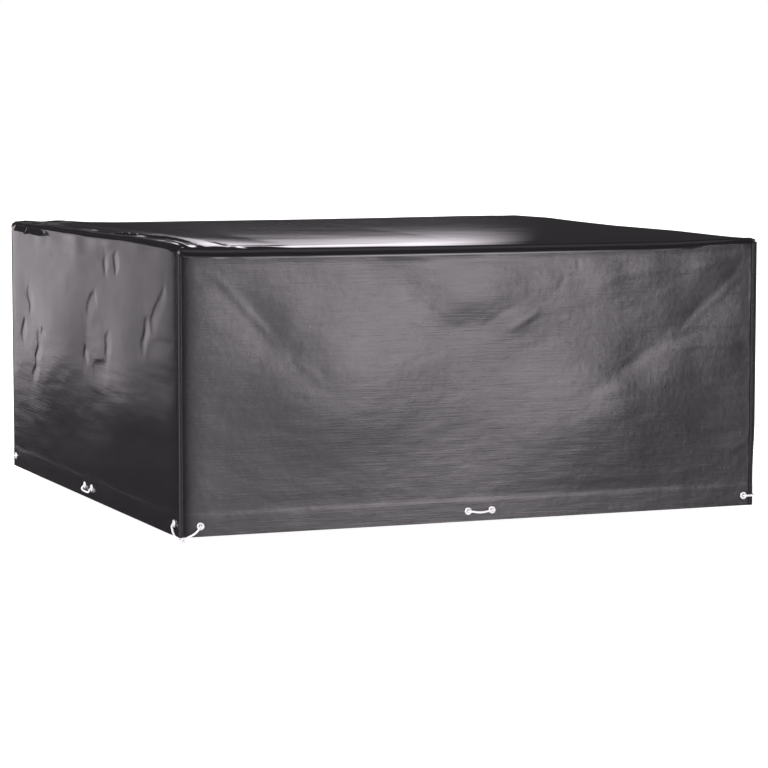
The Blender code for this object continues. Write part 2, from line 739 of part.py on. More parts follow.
# Each free end: points below the knot, as offsets from its centre
FREE_ENDS = {
    "tie_near_end_a": ((-0.0052, -0.0020, -0.0044), (-0.0108, -0.0034, -0.0110),
                       (-0.0118, -0.0040, -0.0190), (-0.0112, -0.0040, -0.0280)),
    "tie_near_end_b": ((0.0020, -0.0020, -0.0062), (0.0026, -0.0030, -0.0140),
                       (0.0010, -0.0040, -0.0220), (-0.0004, -0.0040, -0.0310)),
}


def knot_reach(direction, clearance=GAP):
    return KNOT_PLACE + direction.normalized() * (KNOT_RADIUS + clearance)


def make_near_tie(material):
    strands = (
        ("tie_near_front", "front", NEAR_FRONT_OFFSET, NEAR_FRONT_LEAD, Vector((1.0, -0.10, 0.42))),
        ("tie_near_left", "left", NEAR_SIDE_OFFSET, NEAR_SIDE_LEAD, Vector((-0.12, 1.0, 0.62))),
    )
    for name, side, along, lead, arrival in strands:
        route = [WALLS[side]["place"](side, along - run, eyelet_z(side) + up, out)
                 for run, up, out in lead]
        route += [knot_reach(arrival, 0.004), knot_reach(arrival)]
        make_tie(name, (side, along), route, None, material)
    for name, offsets in FREE_ENDS.items():
        leaving = Vector(offsets[0])
        route = [knot_reach(leaving), knot_reach(leaving, 0.003)]
        route += [KNOT_PLACE + Vector(offset) for offset in offsets[1:]]
        places = smooth_route(route)
        make_tube(name, places, [1.0] * len(places), material)


def make_knot(material):
    ball = bmesh.new()
    bmesh.ops.create_icosphere(ball, subdivisions=2, radius=KNOT_RADIUS,
                               matrix=Matrix.Translation(KNOT_PLACE))
    mesh = bpy.data.meshes.new("tie_near_knot")
    ball.to_mesh(mesh)
    ball.free()
    mesh.shade_smooth()
    return add_object("tie_near_knot", mesh, material)


def main():
    clear_scene()
    sheet = make_material("woven_sheet", SHEET_COLOR, 0.35)
    metal = make_material("eyelet_metal", METAL_COLOR, 0.3, 1.0)
    cord = make_material("tie_cord", CORD_COLOR, 0.8)
    make_top(sheet)
    for side in WALLS:
        make_wall(side, sheet)
    make_eyelets(metal)
    make_middle_ties(cord)
    make_corner_ties(cord)
    make_near_tie(cord)
    make_knot(cord)


main()
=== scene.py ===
"""Looks of a fitted patio furniture cover: glossy woven sheet, bright eyelets and white cord ties.

Metres, +Z up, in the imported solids' frame. Each panel is a fine thin sheet that lies on its solid:
its broad shape is read from the solid, and creases, hem, seams and crumpling are added to it.

The end walls are the front and back. The side walls wrap round the upright corners onto them. A
place on a wall is (s, z, out): distance along it from its left or front corner, height, and
distance out from its nominal face.
"""
import math
from dataclasses import dataclass

import bpy
import numpy as np
from mathutils import Matrix, Vector
from mathutils.bvhtree import BVHTree


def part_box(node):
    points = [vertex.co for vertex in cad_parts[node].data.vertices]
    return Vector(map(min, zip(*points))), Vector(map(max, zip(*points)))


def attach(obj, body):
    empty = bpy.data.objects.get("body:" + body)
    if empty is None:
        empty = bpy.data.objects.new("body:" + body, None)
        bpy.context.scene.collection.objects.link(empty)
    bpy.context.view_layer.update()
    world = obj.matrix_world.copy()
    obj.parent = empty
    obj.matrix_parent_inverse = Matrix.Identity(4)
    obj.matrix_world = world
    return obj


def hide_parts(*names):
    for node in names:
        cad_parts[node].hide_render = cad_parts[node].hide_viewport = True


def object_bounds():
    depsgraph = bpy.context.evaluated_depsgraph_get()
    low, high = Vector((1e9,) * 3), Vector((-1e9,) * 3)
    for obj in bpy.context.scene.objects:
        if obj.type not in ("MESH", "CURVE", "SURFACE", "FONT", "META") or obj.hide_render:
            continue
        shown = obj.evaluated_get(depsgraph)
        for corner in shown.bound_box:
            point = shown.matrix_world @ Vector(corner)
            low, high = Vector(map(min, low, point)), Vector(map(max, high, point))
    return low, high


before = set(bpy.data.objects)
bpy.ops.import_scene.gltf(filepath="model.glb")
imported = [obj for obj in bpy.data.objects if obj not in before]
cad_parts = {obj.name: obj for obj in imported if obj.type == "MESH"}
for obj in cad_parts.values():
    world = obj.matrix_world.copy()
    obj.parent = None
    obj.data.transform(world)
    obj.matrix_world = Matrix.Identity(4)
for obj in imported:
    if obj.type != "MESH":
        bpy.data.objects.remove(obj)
CAD_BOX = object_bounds()

# Sizes of the solids
TOP_LOW, TOP_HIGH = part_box("top_panel")
WIDTH = TOP_HIGH.x - TOP_LOW.x
DEPTH = TOP_HIGH.y - TOP_LOW.y
HEM_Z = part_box("front_panel")[0].z
LAYER = 0.0023
CORNER_RADIUS = 0.012
SIDE_RADIUS = CORNER_RADIUS - LAYER
SIDE_LAP = 0.017
SIDE_START = CORNER_RADIUS - SIDE_RADIUS * math.pi / 2 - (SIDE_LAP - CORNER_RADIUS)
LEFT_TRIM = 0.0074
END_START = 0.007
HEM_HEIGHT = 0.055
PAIR_SPACING = 0.066
CORNER_OFFSET = 0.032
NEAR_FRONT_OFFSET = 0.058
NEAR_SIDE_OFFSET = 0.044
CORD_DIAMETER = 0.005

# Sheets, and the grid lines that keep their edges' shading narrow and frame their eyelets' holes
SHEET_THICKNESS = 0.0009
TAPE_PITCH = 0.0026
EDGE_LINE = 0.0003
HOLE_HALF = 0.0062
HOLE_NARROW = 0.0026
# A wall's grid is drawn to a plain height, then stretched to its head, but not near its hem
GRID_HEIGHT = 0.69
GRID_STILL = 0.1

# Rays that read the solids: their spacing, and where they start and stop
FIELD_CELL = 0.022
FIELD_REACH = 0.05
FIELD_INSET = 0.012
FIELD_TOP = -0.035
RAY_HEIGHT = 0.2

# Relief of the walls
SEAM_DROP = 0.015
SEAM_OVERLAP = 0.005
HEAD_PROUD = 0.0008
HEM_PROUD = 0.0004
STITCH_PULL = 0.0001
FULL_CORNER = 0.0048
CREASE_WANDER = (0.004, 0.05)
# Crumpling: rows of (depth, cell, seed). A wall adds its own seed and its share of the depth
WALL_CRUMPLES = ((0.0016, 0.085, 2), (0.0008, 0.036, 4))
TOP_CRUMPLES = ((0.00022, 0.16, 73), (0.00006, 0.05, 75))
# Fine unevenness of every wall: depth, and cell along and up
GRAIN = (0.00008, 0.030, 0.010)
# Puckers: their cell, along a seam and away from it, and their depth and reach at the hem, the head
# and the corners
PUCKER_CELL = (0.024, 0.05)
HEM_PUCKERS = (0.0010, 0.016)
HEAD_PUCKERS = (0.0012, 0.026)
CORNER_PUCKERS = (0.0012, 0.016)
# Where relief sets in, as spans of the distance from the upright edges, from the hem's edge and
# from the head
BROAD_SPANS = ((0.020, 0.070), (0.050, 0.100), (0.015, 0.045))
FINE_SPANS = ((0.021, 0.051), (0.036, 0.076), (0.006, 0.026))
# Dips beside the corners: depth, where they start to fade, and the fade's length. A far corner of a
# side wall has a share of the depth
SIDE_DIP = (0.0042, 0.017, 0.030)
FAR_DIP_SHARE = 0.2
END_DIP = (0.0030, 0.013, 0.014)
LAP_LIFT = 0.0055

# The top: the crown's lift, and how far the right front corner stands above the solid
CROWN_LIFT = 0.005
CROWN_REACH = 0.45
RAISED_CORNER = 0.005

# The top's edge in section: an arc from level to steep, then the flange, whose rows are
# (distance inside the outline, drop). Where the rim is low, the flange still has its least drop.
RIM_INSET = 0.03
RIM_ARC = 0.021
RIM_STEEP = math.radians(70)
RIM_STEPS = 9
RIM_INSIDE = 0.0014
RIM_CORNER_INSIDE = 0.0014
RIM_RIPPLE = 0.0004
RIM_STEP = 0.0075
RIM_TAIL = ((0.0006, 0.0165), (0.0003, 0.019), (0.0002, 0.0212), (0.0002, 0.0228), (0.0002, 0.023))
FLANGE_DROP = 0.0125
# On the left the rim is lower, and lowest at the near corner
LEFT_RIM_SHARE = 0.7
NEAR_RIM_SHARE = 0.55

# A pleat of the top's seam that stands out at the far left corner: its middle line, as (distance
# along the left wall, height), its section, as (distance out, height), and a nick in it
PLEAT_LINE = ((1.578, 0.001), (1.526, 0.001), (1.45, -0.0012), (1.368, -0.0022), (1.28, -0.0048),
              (1.208, -0.0072))
PLEAT_SECTION = ((-0.003, 0.0066), (0.005, 0.0078), (0.0085, 0.0068), (0.0155, -0.006),
                 (0.0145, -0.0084), (-0.003, -0.0074))
PLEAT_NICK = 1.385

# Eyelets: (radius, distance out) of the flange's roll, then on down the barrel and over the washer
EYELET_TURNS = 48
FLANGE_RADIUS = 0.00735
FLANGE_ROLL = (0.00225, 0.0015)
EYELET_TAIL = ((0.0096, 0.0), (0.0062, 0.0), (0.0062, -0.0021), (0.009, -0.0022),
               (0.0091, -0.0027), (0.0056, -0.0031), (0.0051, -0.0028))

# Cord routes. A tie between two eyelets: (half spacings along, height, distance out), of which the
# taut one is mirrored in its middle
CORD_SIDES = 14
CORD_STEP = 0.0022
STOP = (-0.0175, -0.012, -0.01, -0.0046, -0.0028)
STOP_DEPTH = -0.008
# Knots: size of the curve and radius of its strand
STOP_KNOT = (0.0042, 0.0019)
NEAR_KNOT = (0.0058, 0.0024)
TAUT_HALF = ((0.97, 0.0, 0.0014), (0.84, -0.0004, 0.0052), (0.66, -0.0012, 0.006),
             (0.34, -0.003, 0.0061))
TAUT_ROUTE = (*((-part, up, out) for part, up, out in TAUT_HALF), (0.0, -0.0038, 0.0061),
              *reversed(TAUT_HALF))
SLACK_ROUTE = (
    (-0.99, -0.0012, 0.0016), (-1.02, -0.0056, 0.0062), (-0.92, -0.01, 0.007),
    (-0.66, -0.0122, 0.007), (-0.3, -0.013, 0.0068), (0.15, -0.0132, 0.0068),
    (0.6, -0.013, 0.0069), (0.9, -0.0122, 0.0071), (1.06, -0.0096, 0.0072),
    (1.03, -0.0052, 0.0062), (0.99, -0.0012, 0.0016),
)
# Round a corner: (distance towards the corner, distance out)
CORNER_LEAD = ((0.0008, 0.0016), (0.0056, 0.0054), (0.011, 0.0061))
CORNER_REACH = SIDE_RADIUS + CORD_DIAMETER / 2 + 0.0008
# To the near corner's knot: (distance towards the corner, height, distance out), then free ends
KNOT_PLACE = Vector((-WIDTH / 2 + 0.006, -DEPTH / 2 - 0.0075, HEM_Z - 0.006))
NEAR_FRONT_LEAD = ((0.0008, -0.0006, 0.0018), (0.0052, -0.0046, 0.0064), (0.014, -0.0134, 0.008),
                   (0.026, -0.0204, 0.0088), (0.038, -0.0254, 0.0092))
NEAR_SIDE_LEAD = ((0.0002, -0.001, 0.0018), (0.0026, -0.0056, 0.0064), (0.011, -0.0134, 0.0076),
                  (0.024, -0.0214, 0.0086), (0.035, -0.0272, 0.0096))
FREE_ENDS = {
    "a": ((-0.0052, -0.002, -0.0044), (-0.0108, -0.0034, -0.011), (-0.0118, -0.004, -0.019),
          (-0.0112, -0.004, -0.028)),
    "b": ((0.002, -0.002, -0.0062), (0.0026, -0.003, -0.014), (0.001, -0.004, -0.022),
          (-0.0004, -0.004, -0.031)),
}

# Stitches are octahedra: half their length, width and thickness, and the faces on six corners
STITCH_PITCH = 0.0052
STITCH_HALF = (0.0018, 0.0006, 0.0004)
STITCH_FACES = np.array(((0, 2, 4), (2, 1, 4), (1, 3, 4), (3, 0, 4),
                         (2, 0, 5), (1, 2, 5), (3, 1, 5), (0, 3, 5)))
STITCH_MARGIN = 0.006
SEAM_MARGIN = 0.0032

# Camera, at the photograph's angle
CAMERA_PLACE = (-2.8312, -7.114, 0.2832)
CAMERA_YAW = math.radians(-22.151)
CAMERA_PITCH = math.radians(-5.288)
CAMERA_LENS = 128.7
FLOOR_GAP = 0.002
FLOOR_HALF = 60.0

# Soft lights of the studio, by direction as seen from the object, in degrees. Azimuth runs from +Y
# towards +X. Each row: azimuth, half width, blur, lowest and highest elevation, blur, strength
GLOWS = (
    # At the front: a weak broad strip and a narrow strong one, which the front wall mirrors
    (162.0, 8.5, 6.0, -30.0, 9.0, 9.0, 0.78),
    (156.9, 2.8, 4.0, -6.2, 4.0, 5.6, 7.6),
    # To the right, at its level
    (112.0, 12.0, 14.0, -30.0, 9.0, 9.0, 0.5),
    (75.0, 22.0, 22.0, -30.0, 9.0, 9.0, 0.12),
    # At the front left, level and high
    (250.0, 20.0, 12.0, -25.0, 15.0, 8.0, 0.82),
    (232.0, 36.0, 12.0, 24.0, 64.0, 8.0, 5.5),
    # Behind, at its level, which the left wall mirrors
    (-12.0, 14.0, 6.0, -5.2, 6.0, 0.8, 0.21),
    (-6.0, 10.0, 2.4, -5.2, 6.0, 0.8, 0.5),
    # Behind and a little above, which the top mirrors
    (21.0, 3.3, 1.2, 4.8, 10.5, 1.8, 1.25),
    (15.6, 2.0, 1.6, 4.8, 10.5, 1.8, 0.07),
    # Overhead
    (0.0, 180.0, 1.0, 60.0, 100.0, 12.0, 0.45),
    # To the left, above and below
    (-85.0, 25.0, 10.0, 12.0, 50.0, 10.0, 0.5),
    (-85.0, 40.0, 12.0, -45.0, -16.0, 5.0, 0.9),
    # To the right, below and above
    (85.0, 50.0, 12.0, -45.0, -16.0, 5.0, 1.1),
    (100.0, 25.0, 10.0, 18.0, 50.0, 8.0, 0.9),
)
AMBIENT = 0.03
STUDIO_TINT = (1.0, 0.935, 1.0, 1.0)

# Fine creases: depth outwards, half width, then points as (distance along the wall, height above
# the hem's edge)
FRONT_CREASES = (
    (0.00026, 0.016, (0.073, 0.652), (0.114, 0.624), (0.16, 0.574), (0.199, 0.529), (0.227, 0.501),
     (0.259, 0.461)),
    (0.00024, 0.022, (0.303, 0.432), (0.382, 0.357)),
    (-0.00014, 0.016, (0.543, 0.628), (0.616, 0.575), (0.692, 0.524), (0.742, 0.492), (0.8, 0.486)),
    (-0.00018, 0.016, (0.8, 0.49), (0.85, 0.52), (0.9, 0.545), (0.96, 0.545)),
    (0.00032, 0.014, (0.88, 0.484), (0.915, 0.499), (0.948, 0.517), (0.971, 0.534)),
    (-0.00024, 0.016, (0.519, 0.67), (0.59, 0.664), (0.665, 0.658)),
    (0.00024, 0.017, (1.557, 0.657), (1.427, 0.63), (1.289, 0.628), (1.161, 0.604)),
    (-0.00008, 0.014, (1.558, 0.64), (1.484, 0.575), (1.428, 0.531), (1.39, 0.49)),
    (0.00016, 0.014, (1.56, 0.615), (1.492, 0.555), (1.434, 0.512), (1.385, 0.472)),
    (-0.00032, 0.018, (1.36, 0.455), (1.43, 0.466), (1.51, 0.467), (1.58, 0.464)),
    (0.00032, 0.012, (1.365, 0.424), (1.43, 0.427), (1.51, 0.428), (1.58, 0.421)),
    (-0.00024, 0.026, (1.346, 0.457), (1.27, 0.41), (1.207, 0.372), (1.109, 0.316)),
    (-0.00016, 0.01, (1.078, 0.665), (1.08, 0.632)),
    (-0.00016, 0.013, (1.041, 0.627), (1.024, 0.579)),
    (0.00024, 0.012, (1.438, 0.158), (1.5, 0.155), (1.543, 0.154), (1.582, 0.168)),
    (-0.00024, 0.018, (1.402, 0.194), (1.48, 0.199), (1.558, 0.201)),
    (0.00016, 0.024, (1.144, 0.304), (1.19, 0.316), (1.242, 0.332)),
    (-0.00016, 0.012, (0.665, 0.564), (0.667, 0.489)),
)
LEFT_CREASES = (
    (-0.00084, 0.012, (0.638, 0.651), (0.628, 0.632), (0.616, 0.615)),
    (-0.00098, 0.012, (0.545, 0.666), (0.532, 0.64), (0.52, 0.617)),
    (-0.0007, 0.014, (0.708, 0.56), (0.75, 0.545), (0.786, 0.523), (0.797, 0.501)),
    (-0.0007, 0.012, (0.107, 0.604), (0.149, 0.569), (0.19, 0.54), (0.225, 0.509)),
    (-0.00098, 0.012, (0.276, 0.514), (0.268, 0.491), (0.286, 0.465), (0.312, 0.45)),
    (-0.00084, 0.014, (1.422, 0.523), (1.384, 0.496), (1.385, 0.464)),
    (-0.00091, 0.013, (1.309, 0.42), (1.289, 0.381), (1.329, 0.346), (1.318, 0.321), (1.371, 0.285)),
    (-0.0007, 0.012, (1.254, 0.432), (1.259, 0.409)),
    (-0.00098, 0.014, (1.443, 0.446), (1.491, 0.396)),
    (-0.00084, 0.014, (0.81, 0.414), (0.831, 0.377)),
    (-0.00077, 0.014, (0.626, 0.456), (0.609, 0.428), (0.619, 0.399)),
    (-0.00056, 0.016, (0.743, 0.367), (0.67, 0.378), (0.592, 0.385)),
    (-0.0004, 0.018, (0.25, 0.456), (0.15, 0.468), (0.04, 0.471)),
    (0.00063, 0.024, (1.189, 0.674), (0.9, 0.664), (0.629, 0.651)),
)
RIGHT_CREASES = (
    (-0.0016, 0.012, (0.11, 0.63), (0.17, 0.585), (0.22, 0.54), (0.28, 0.45)),
    (-0.0014, 0.012, (0.98, 0.62), (0.92, 0.575), (0.86, 0.53), (0.8, 0.5)),
    (0.0014, 0.012, (1.22, 0.59), (1.33, 0.615), (1.42, 0.63)),
    (-0.0013, 0.01, (0.52, 0.42), (0.57, 0.36), (0.6, 0.29)),
    (-0.0013, 0.01, (1.4, 0.4), (1.34, 0.33), (1.33, 0.27)),
    (0.0012, 0.009, (0.62, 0.64), (0.72, 0.628), (0.8, 0.636)),
    (-0.0012, 0.009, (0.38, 0.23), (0.46, 0.215)),
)
BACK_CREASES = (
    (-0.0016, 0.012, (0.08, 0.64), (0.13, 0.6), (0.18, 0.55), (0.27, 0.46)),
    (-0.0016, 0.012, (1.05, 0.63), (0.99, 0.585), (0.93, 0.54), (0.84, 0.51)),
    (-0.0014, 0.012, (1.52, 0.6), (1.46, 0.54), (1.4, 0.49), (1.3, 0.44)),
    (0.0013, 0.01, (0.36, 0.6), (0.47, 0.615), (0.58, 0.606)),
    (-0.0013, 0.01, (0.6, 0.33), (0.66, 0.27), (0.67, 0.2)),
    (-0.0013, 0.01, (1.22, 0.28), (1.27, 0.24), (1.36, 0.225)),
)
# Creases of the top, in distances from its left and front edges
TOP_CREASES = (
    (0.0062, 0.014, (-0.02, 0.7), (0.03, 0.64), (0.085, 0.56), (0.116, 0.44), (0.112, 0.3),
     (0.094, 0.15), (0.072, 0.02)),
    (0.0026, 0.01, (0.172, 0.28), (0.168, 0.15), (0.158, 0.02)),
    (0.0034, 0.012, (0.05, 0.26), (0.044, 0.12), (0.036, 0.02)),
)


# --- smooth fields and noise ---

def rise(value, start, end):
    """Smooth change from 0 at `start` to 1 at `end`, which may be the smaller, and flat beyond."""
    part = np.clip((value - start) / (end - start), 0.0, 1.0)
    return part * part * (3.0 - 2.0 * part)


def spline_weights(part):
    """Weights of the four nearest samples of a uniform cubic B-spline."""
    rest = 1.0 - part
    return (rest ** 3 / 6.0, (3.0 * part ** 3 - 6.0 * part ** 2 + 4.0) / 6.0,
            (3.0 * rest ** 3 - 6.0 * rest ** 2 + 4.0) / 6.0, part ** 3 / 6.0)


def spline_field(samples, u, v):
    """Read a grid of samples at fractional places u, v by a smooth B-spline."""
    rows, columns = samples.shape
    whole_u, whole_v = np.floor(u).astype(int), np.floor(v).astype(int)
    weights_u = spline_weights(u - whole_u)
    weights_v = spline_weights(v - whole_v)
    total = np.zeros_like(u)
    for i in range(4):
        row = np.clip(whole_u + i - 1, 0, rows - 1)
        for j in range(4):
            column = np.clip(whole_v + j - 1, 0, columns - 1)
            total += weights_u[i] * weights_v[j] * samples[row, column]
    return total


def smooth_noise(x, y, cell_x, cell_y, seed):
    """Seeded noise of about -1 to 1, with features of the given cell size."""
    u, v = x / cell_x + 3.0, y / cell_y + 3.0
    shape = (int(u.max()) + 6, int(v.max()) + 6)
    samples = np.random.default_rng(seed).uniform(-1.6, 1.6, shape)
    return spline_field(samples, u, v)


def crumple(x, y, cell, seed):
    """Crumpling, as of a stiff sheet: soft-edged ridges where smooth noise passes through zero."""
    slant = 0.6
    one = smooth_noise(x + slant * y + 2.0, y + 2.0, cell, cell, seed)
    two = smooth_noise(x + 2.0, y - slant * x + 3.0, cell * 1.4, cell * 0.9, seed + 1)
    return 0.7 - np.sqrt(one ** 2 + 0.03) - 0.6 * np.sqrt(two ** 2 + 0.03)


def crumple_relief(rows, x, y, seed=0):
    """Sum of crumpling from coarse to fine."""
    return sum(depth * crumple(x, y, cell, seed + step) for depth, cell, step in rows)


def distances(route):
    """Distance travelled along a route at each of its points."""
    steps = np.linalg.norm(np.diff(route, axis=0), axis=1)
    return np.concatenate(([0.0], np.cumsum(steps)))


def crease_relief(creases, x, y, seed, skew=1.0):
    """Sum of creases that run out at both ends and wander a little.

    On the side of smaller x a crease is `skew` times as wide, so that its flank there is gentler.
    """
    wander, cell = CREASE_WANDER
    shift_x = wander * smooth_noise(x + 1.0, y + 1.0, cell, cell, seed)
    shift_y = wander * smooth_noise(x + 1.0, y + 1.0, cell, cell, seed + 1)
    total = np.zeros_like(x)
    for depth, half_width, *points in creases:
        spots = np.array(points)
        starts = distances(spots)
        nearest = np.full_like(x, 1e9)
        along = np.zeros_like(x)
        reach = np.full_like(x, half_width)
        for start, run, before, after in zip(spots, np.diff(spots, axis=0), starts, starts[1:]):
            length = after - before
            off_x, off_y = x + shift_x - start[0], y + shift_y - start[1]
            part = np.clip((off_x * run[0] + off_y * run[1]) / length ** 2, 0.0, 1.0)
            away = np.hypot(off_x - part * run[0], off_y - part * run[1])
            width = half_width * np.where(off_x < part * run[0], skew, 1.0)
            closer = away < nearest
            nearest = np.where(closer, away, nearest)
            along = np.where(closer, before + part * length, along)
            reach = np.where(closer, width, reach)
        fraction = along / starts[-1]
        taper = np.sqrt(np.clip(4.0 * fraction * (1.0 - fraction), 0.0, 1.0))
        total += depth * taper * rise(nearest, reach, 0.0)
    return total


# --- the walls ---

def end_place(facing, s, z, out):
    """Places on the front or back wall."""
    y = facing * (DEPTH / 2 - 2 * LAYER + out)
    return np.stack(np.broadcast_arrays(s - WIDTH / 2, y, z), axis=-1)


def corner_fullness(run, z):
    """How far the cloth at the right front corner stands out over the solid, above its hem."""
    near_corner = rise(run, SIDE_START, SIDE_START + 0.004) * rise(run, 0.25, 0.0)
    return FULL_CORNER * near_corner * rise(z - HEM_Z, 0.08, 0.23)


def side_place(facing, s, z, out):
    """Places on the left or right wall, which wraps round the corner at each end."""
    run = np.minimum(s, DEPTH - s)
    turn = np.clip((CORNER_RADIUS - run) / SIDE_RADIUS, 0.0, math.pi / 2)
    past = np.maximum(CORNER_RADIUS - run - SIDE_RADIUS * math.pi / 2, 0.0)
    flat = run >= CORNER_RADIUS
    forward = np.where(flat, run, CORNER_RADIUS - (SIDE_RADIUS + out) * np.sin(turn))
    proud = -CORNER_RADIUS + (SIDE_RADIUS + out) * np.cos(turn) - past
    full = corner_fullness(run, z) * ((facing > 0) & (s < DEPTH / 2))
    y = np.where(s > DEPTH / 2, DEPTH / 2 - forward, forward - DEPTH / 2)
    return np.stack(np.broadcast_arrays(facing * (WIDTH / 2 + proud) + full, y, z), axis=-1)


@dataclass(frozen=True)
class Wall:
    """A wall's build, and how much of each kind of relief its cloth shows."""
    axis: int  # 1 for an end wall, 0 for a side wall
    facing: int  # direction of its face on that axis
    start: float  # where its cloth starts, from each corner
    creases: tuple
    seed: int
    corners: tuple = (CORNER_OFFSET, CORNER_OFFSET)  # first and last eyelet, from the corners
    pair_shift: float = 0.0  # shift of the middle eyelets
    eyelet_height: float = 0.026  # above the hem's edge
    cell: float = 0.0070  # of its grid
    stretch: float = 1.0  # of its crumpling, along the wall
    crumpling: float = 0.6  # share of the full depth
    mottle: tuple = (0.00030, 0.055, 0.040)  # unevenness: depth, and cell along and up
    folds: float = 0.40  # share kept of the solid's narrow folds
    broad: float = 1.0  # share kept of the solid's broad shape
    rounds: int = 5  # of smoothing, which parts those two
    skew: float = 2.0  # of its creases
    head: float = 0.60  # share of the puckers under the top's seam

    @property
    def wraps(self):
        """Whether it wraps round the corners, as the side walls do."""
        return self.axis == 0

    @property
    def length(self):
        """From corner to corner."""
        return DEPTH if self.wraps else WIDTH

    @property
    def eyelet_z(self):
        """Height of its eyelets' centres."""
        return HEM_Z + self.eyelet_height

    def place(self, s, z, out):
        """Places (x, y, z) of places on the wall."""
        return (side_place if self.wraps else end_place)(self.facing, s, z, out)

    def spot(self, s, z, out):
        """One place on the wall, as a vector."""
        return Vector(self.place(np.array(s), np.array(z), np.array(out)))

    def eyelets(self):
        """Distances along the wall of its four eyelets."""
        first, last = self.corners
        middle = self.length / 2 + self.pair_shift
        return {"near": first, "mid_a": middle - PAIR_SPACING / 2, "mid_b": middle + PAIR_SPACING / 2,
                "far": self.length - last}


WALLS = {
    "front": Wall(1, -1, END_START, FRONT_CREASES, 11, corners=(NEAR_FRONT_OFFSET, CORNER_OFFSET),
                  pair_shift=0.005, cell=0.0052, crumpling=0.08, mottle=(0.00015, 0.055, 0.040),
                  folds=0.06, broad=0.62, rounds=6, skew=1.0, head=0.10),
    "right": Wall(0, 1, SIDE_START, RIGHT_CREASES, 23),
    "back": Wall(1, 1, END_START, BACK_CREASES, 37),
    "left": Wall(0, -1, SIDE_START + LEFT_TRIM, LEFT_CREASES, 41,
                 corners=(NEAR_SIDE_OFFSET, CORNER_OFFSET), eyelet_height=0.031, cell=0.0054,
                 stretch=2.6, crumpling=0.20, mottle=(0.00028, 0.150, 0.046),
                 folds=0.04, broad=0.4, rounds=14, skew=4.0, head=0.80),
}


# --- what is read from the solids ---

def solid_tree(name):
    """A solid's faces, ready for rays."""
    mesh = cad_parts[name].data
    points = [vert.co for vert in mesh.vertices]
    return BVHTree.FromPolygons(points, [list(face.vertices) for face in mesh.polygons])


def soften(samples, wall):
    """Keep shares of the broad shape of a grid of samples and of its narrow folds."""
    broad = samples
    for _ in range(wall.rounds):
        padded = np.pad(broad, 1, mode="edge")
        broad = (padded[:-2, 1:-1] + padded[2:, 1:-1] + padded[1:-1, :-2] + padded[1:-1, 2:]) / 4.0
    return wall.broad * broad + wall.folds * (samples - broad)


def wall_field(side, wall):
    """The solid's relief from above its hem up to FIELD_TOP, sampled from outside on a grid."""
    tree = solid_tree(side + "_panel")
    inward = Vector((0.0, 0.0, 0.0))
    inward[wall.axis] = -wall.facing
    low = HEM_Z + HEM_HEIGHT
    count_s = round(wall.length / FIELD_CELL)
    count_z = round((FIELD_TOP - low) / FIELD_CELL)
    samples = np.zeros((count_s + 1, count_z + 1))
    for i in range(1, count_s):
        for j in range(count_z + 1):
            s = wall.length * i / count_s
            z = low + (FIELD_TOP - low) * j / count_z
            distance = tree.ray_cast(wall.spot(s, z, FIELD_REACH), inward)[3]
            samples[i, j] = FIELD_REACH - distance if distance else 0.0
    return soften(samples, wall)


def height_under(tree, x, y):
    """Height of the first face below a place above the top."""
    return tree.ray_cast(Vector((x, y, RAY_HEIGHT)), Vector((0.0, 0.0, -1.0)))[0].z


def raised_corner(across, deep):
    """How much higher the right front corner stands than in the solid."""
    fade = np.exp(-np.maximum(deep, 0.0) / 0.22)
    return RAISED_CORNER * rise(across, WIDTH - 0.30, WIDTH - 0.04) * fade


def rim_heights(tree):
    """Heights of the top's edge along each wall, evenly spaced."""
    heights = {}
    for side, wall in WALLS.items():
        values = []
        for fraction in np.linspace(0.0, 1.0, 121):
            place = [0.0, 0.0]
            place[wall.axis] = wall.facing * (WIDTH / 2 - FIELD_INSET)
            place[1 - wall.axis] = (fraction - 0.5) * (WIDTH - 2 * FIELD_INSET)
            raised = raised_corner(place[0] + WIDTH / 2, place[1] + DEPTH / 2)
            values.append(height_under(tree, *place) + raised)
        heights[side] = np.array(values)
    return heights


def top_field(tree):
    """Heights of the top's solid inside its rim, on a square grid."""
    half = WIDTH / 2 - FIELD_INSET
    lines = np.linspace(-half, half, round(2 * half / FIELD_CELL) + 1)
    return np.array([[height_under(tree, x, y) for y in lines] for x in lines])


TOP_TREE = solid_tree("top_panel")
RIM = rim_heights(TOP_TREE)
TOP_FIELD = top_field(TOP_TREE)
WALL_FIELDS = {side: wall_field(side, wall) for side, wall in WALLS.items()}


# --- relief of the walls ---

def wall_head(side, s):
    """Height of a wall's top edge, under the top panel's flange."""
    fraction = np.clip(s / WALLS[side].length, 0.0, 1.0)
    rim = np.interp(fraction, np.linspace(0.0, 1.0, len(RIM[side])), RIM[side])
    return rim - SEAM_DROP + SEAM_OVERLAP


def solid_relief(side, s, z):
    """The solid's own relief, softened."""
    samples = WALL_FIELDS[side]
    low = HEM_Z + HEM_HEIGHT
    u = s / WALLS[side].length * (samples.shape[0] - 1)
    v = (z - low) / (FIELD_TOP - low) * (samples.shape[1] - 1)
    return spline_field(samples, u, np.clip(v, 0.0, samples.shape[1] - 1.001))


def hem_relief(height):
    """The doubled hem stands a little proud, and its stitch line pulls in."""
    step = HEM_PROUD * rise(height, HEM_HEIGHT + 0.001, HEM_HEIGHT - 0.001)
    pull = STITCH_PULL * np.clip(1.0 - np.abs(height - HEM_HEIGHT) / 0.004, 0.0, 1.0)
    return step - pull


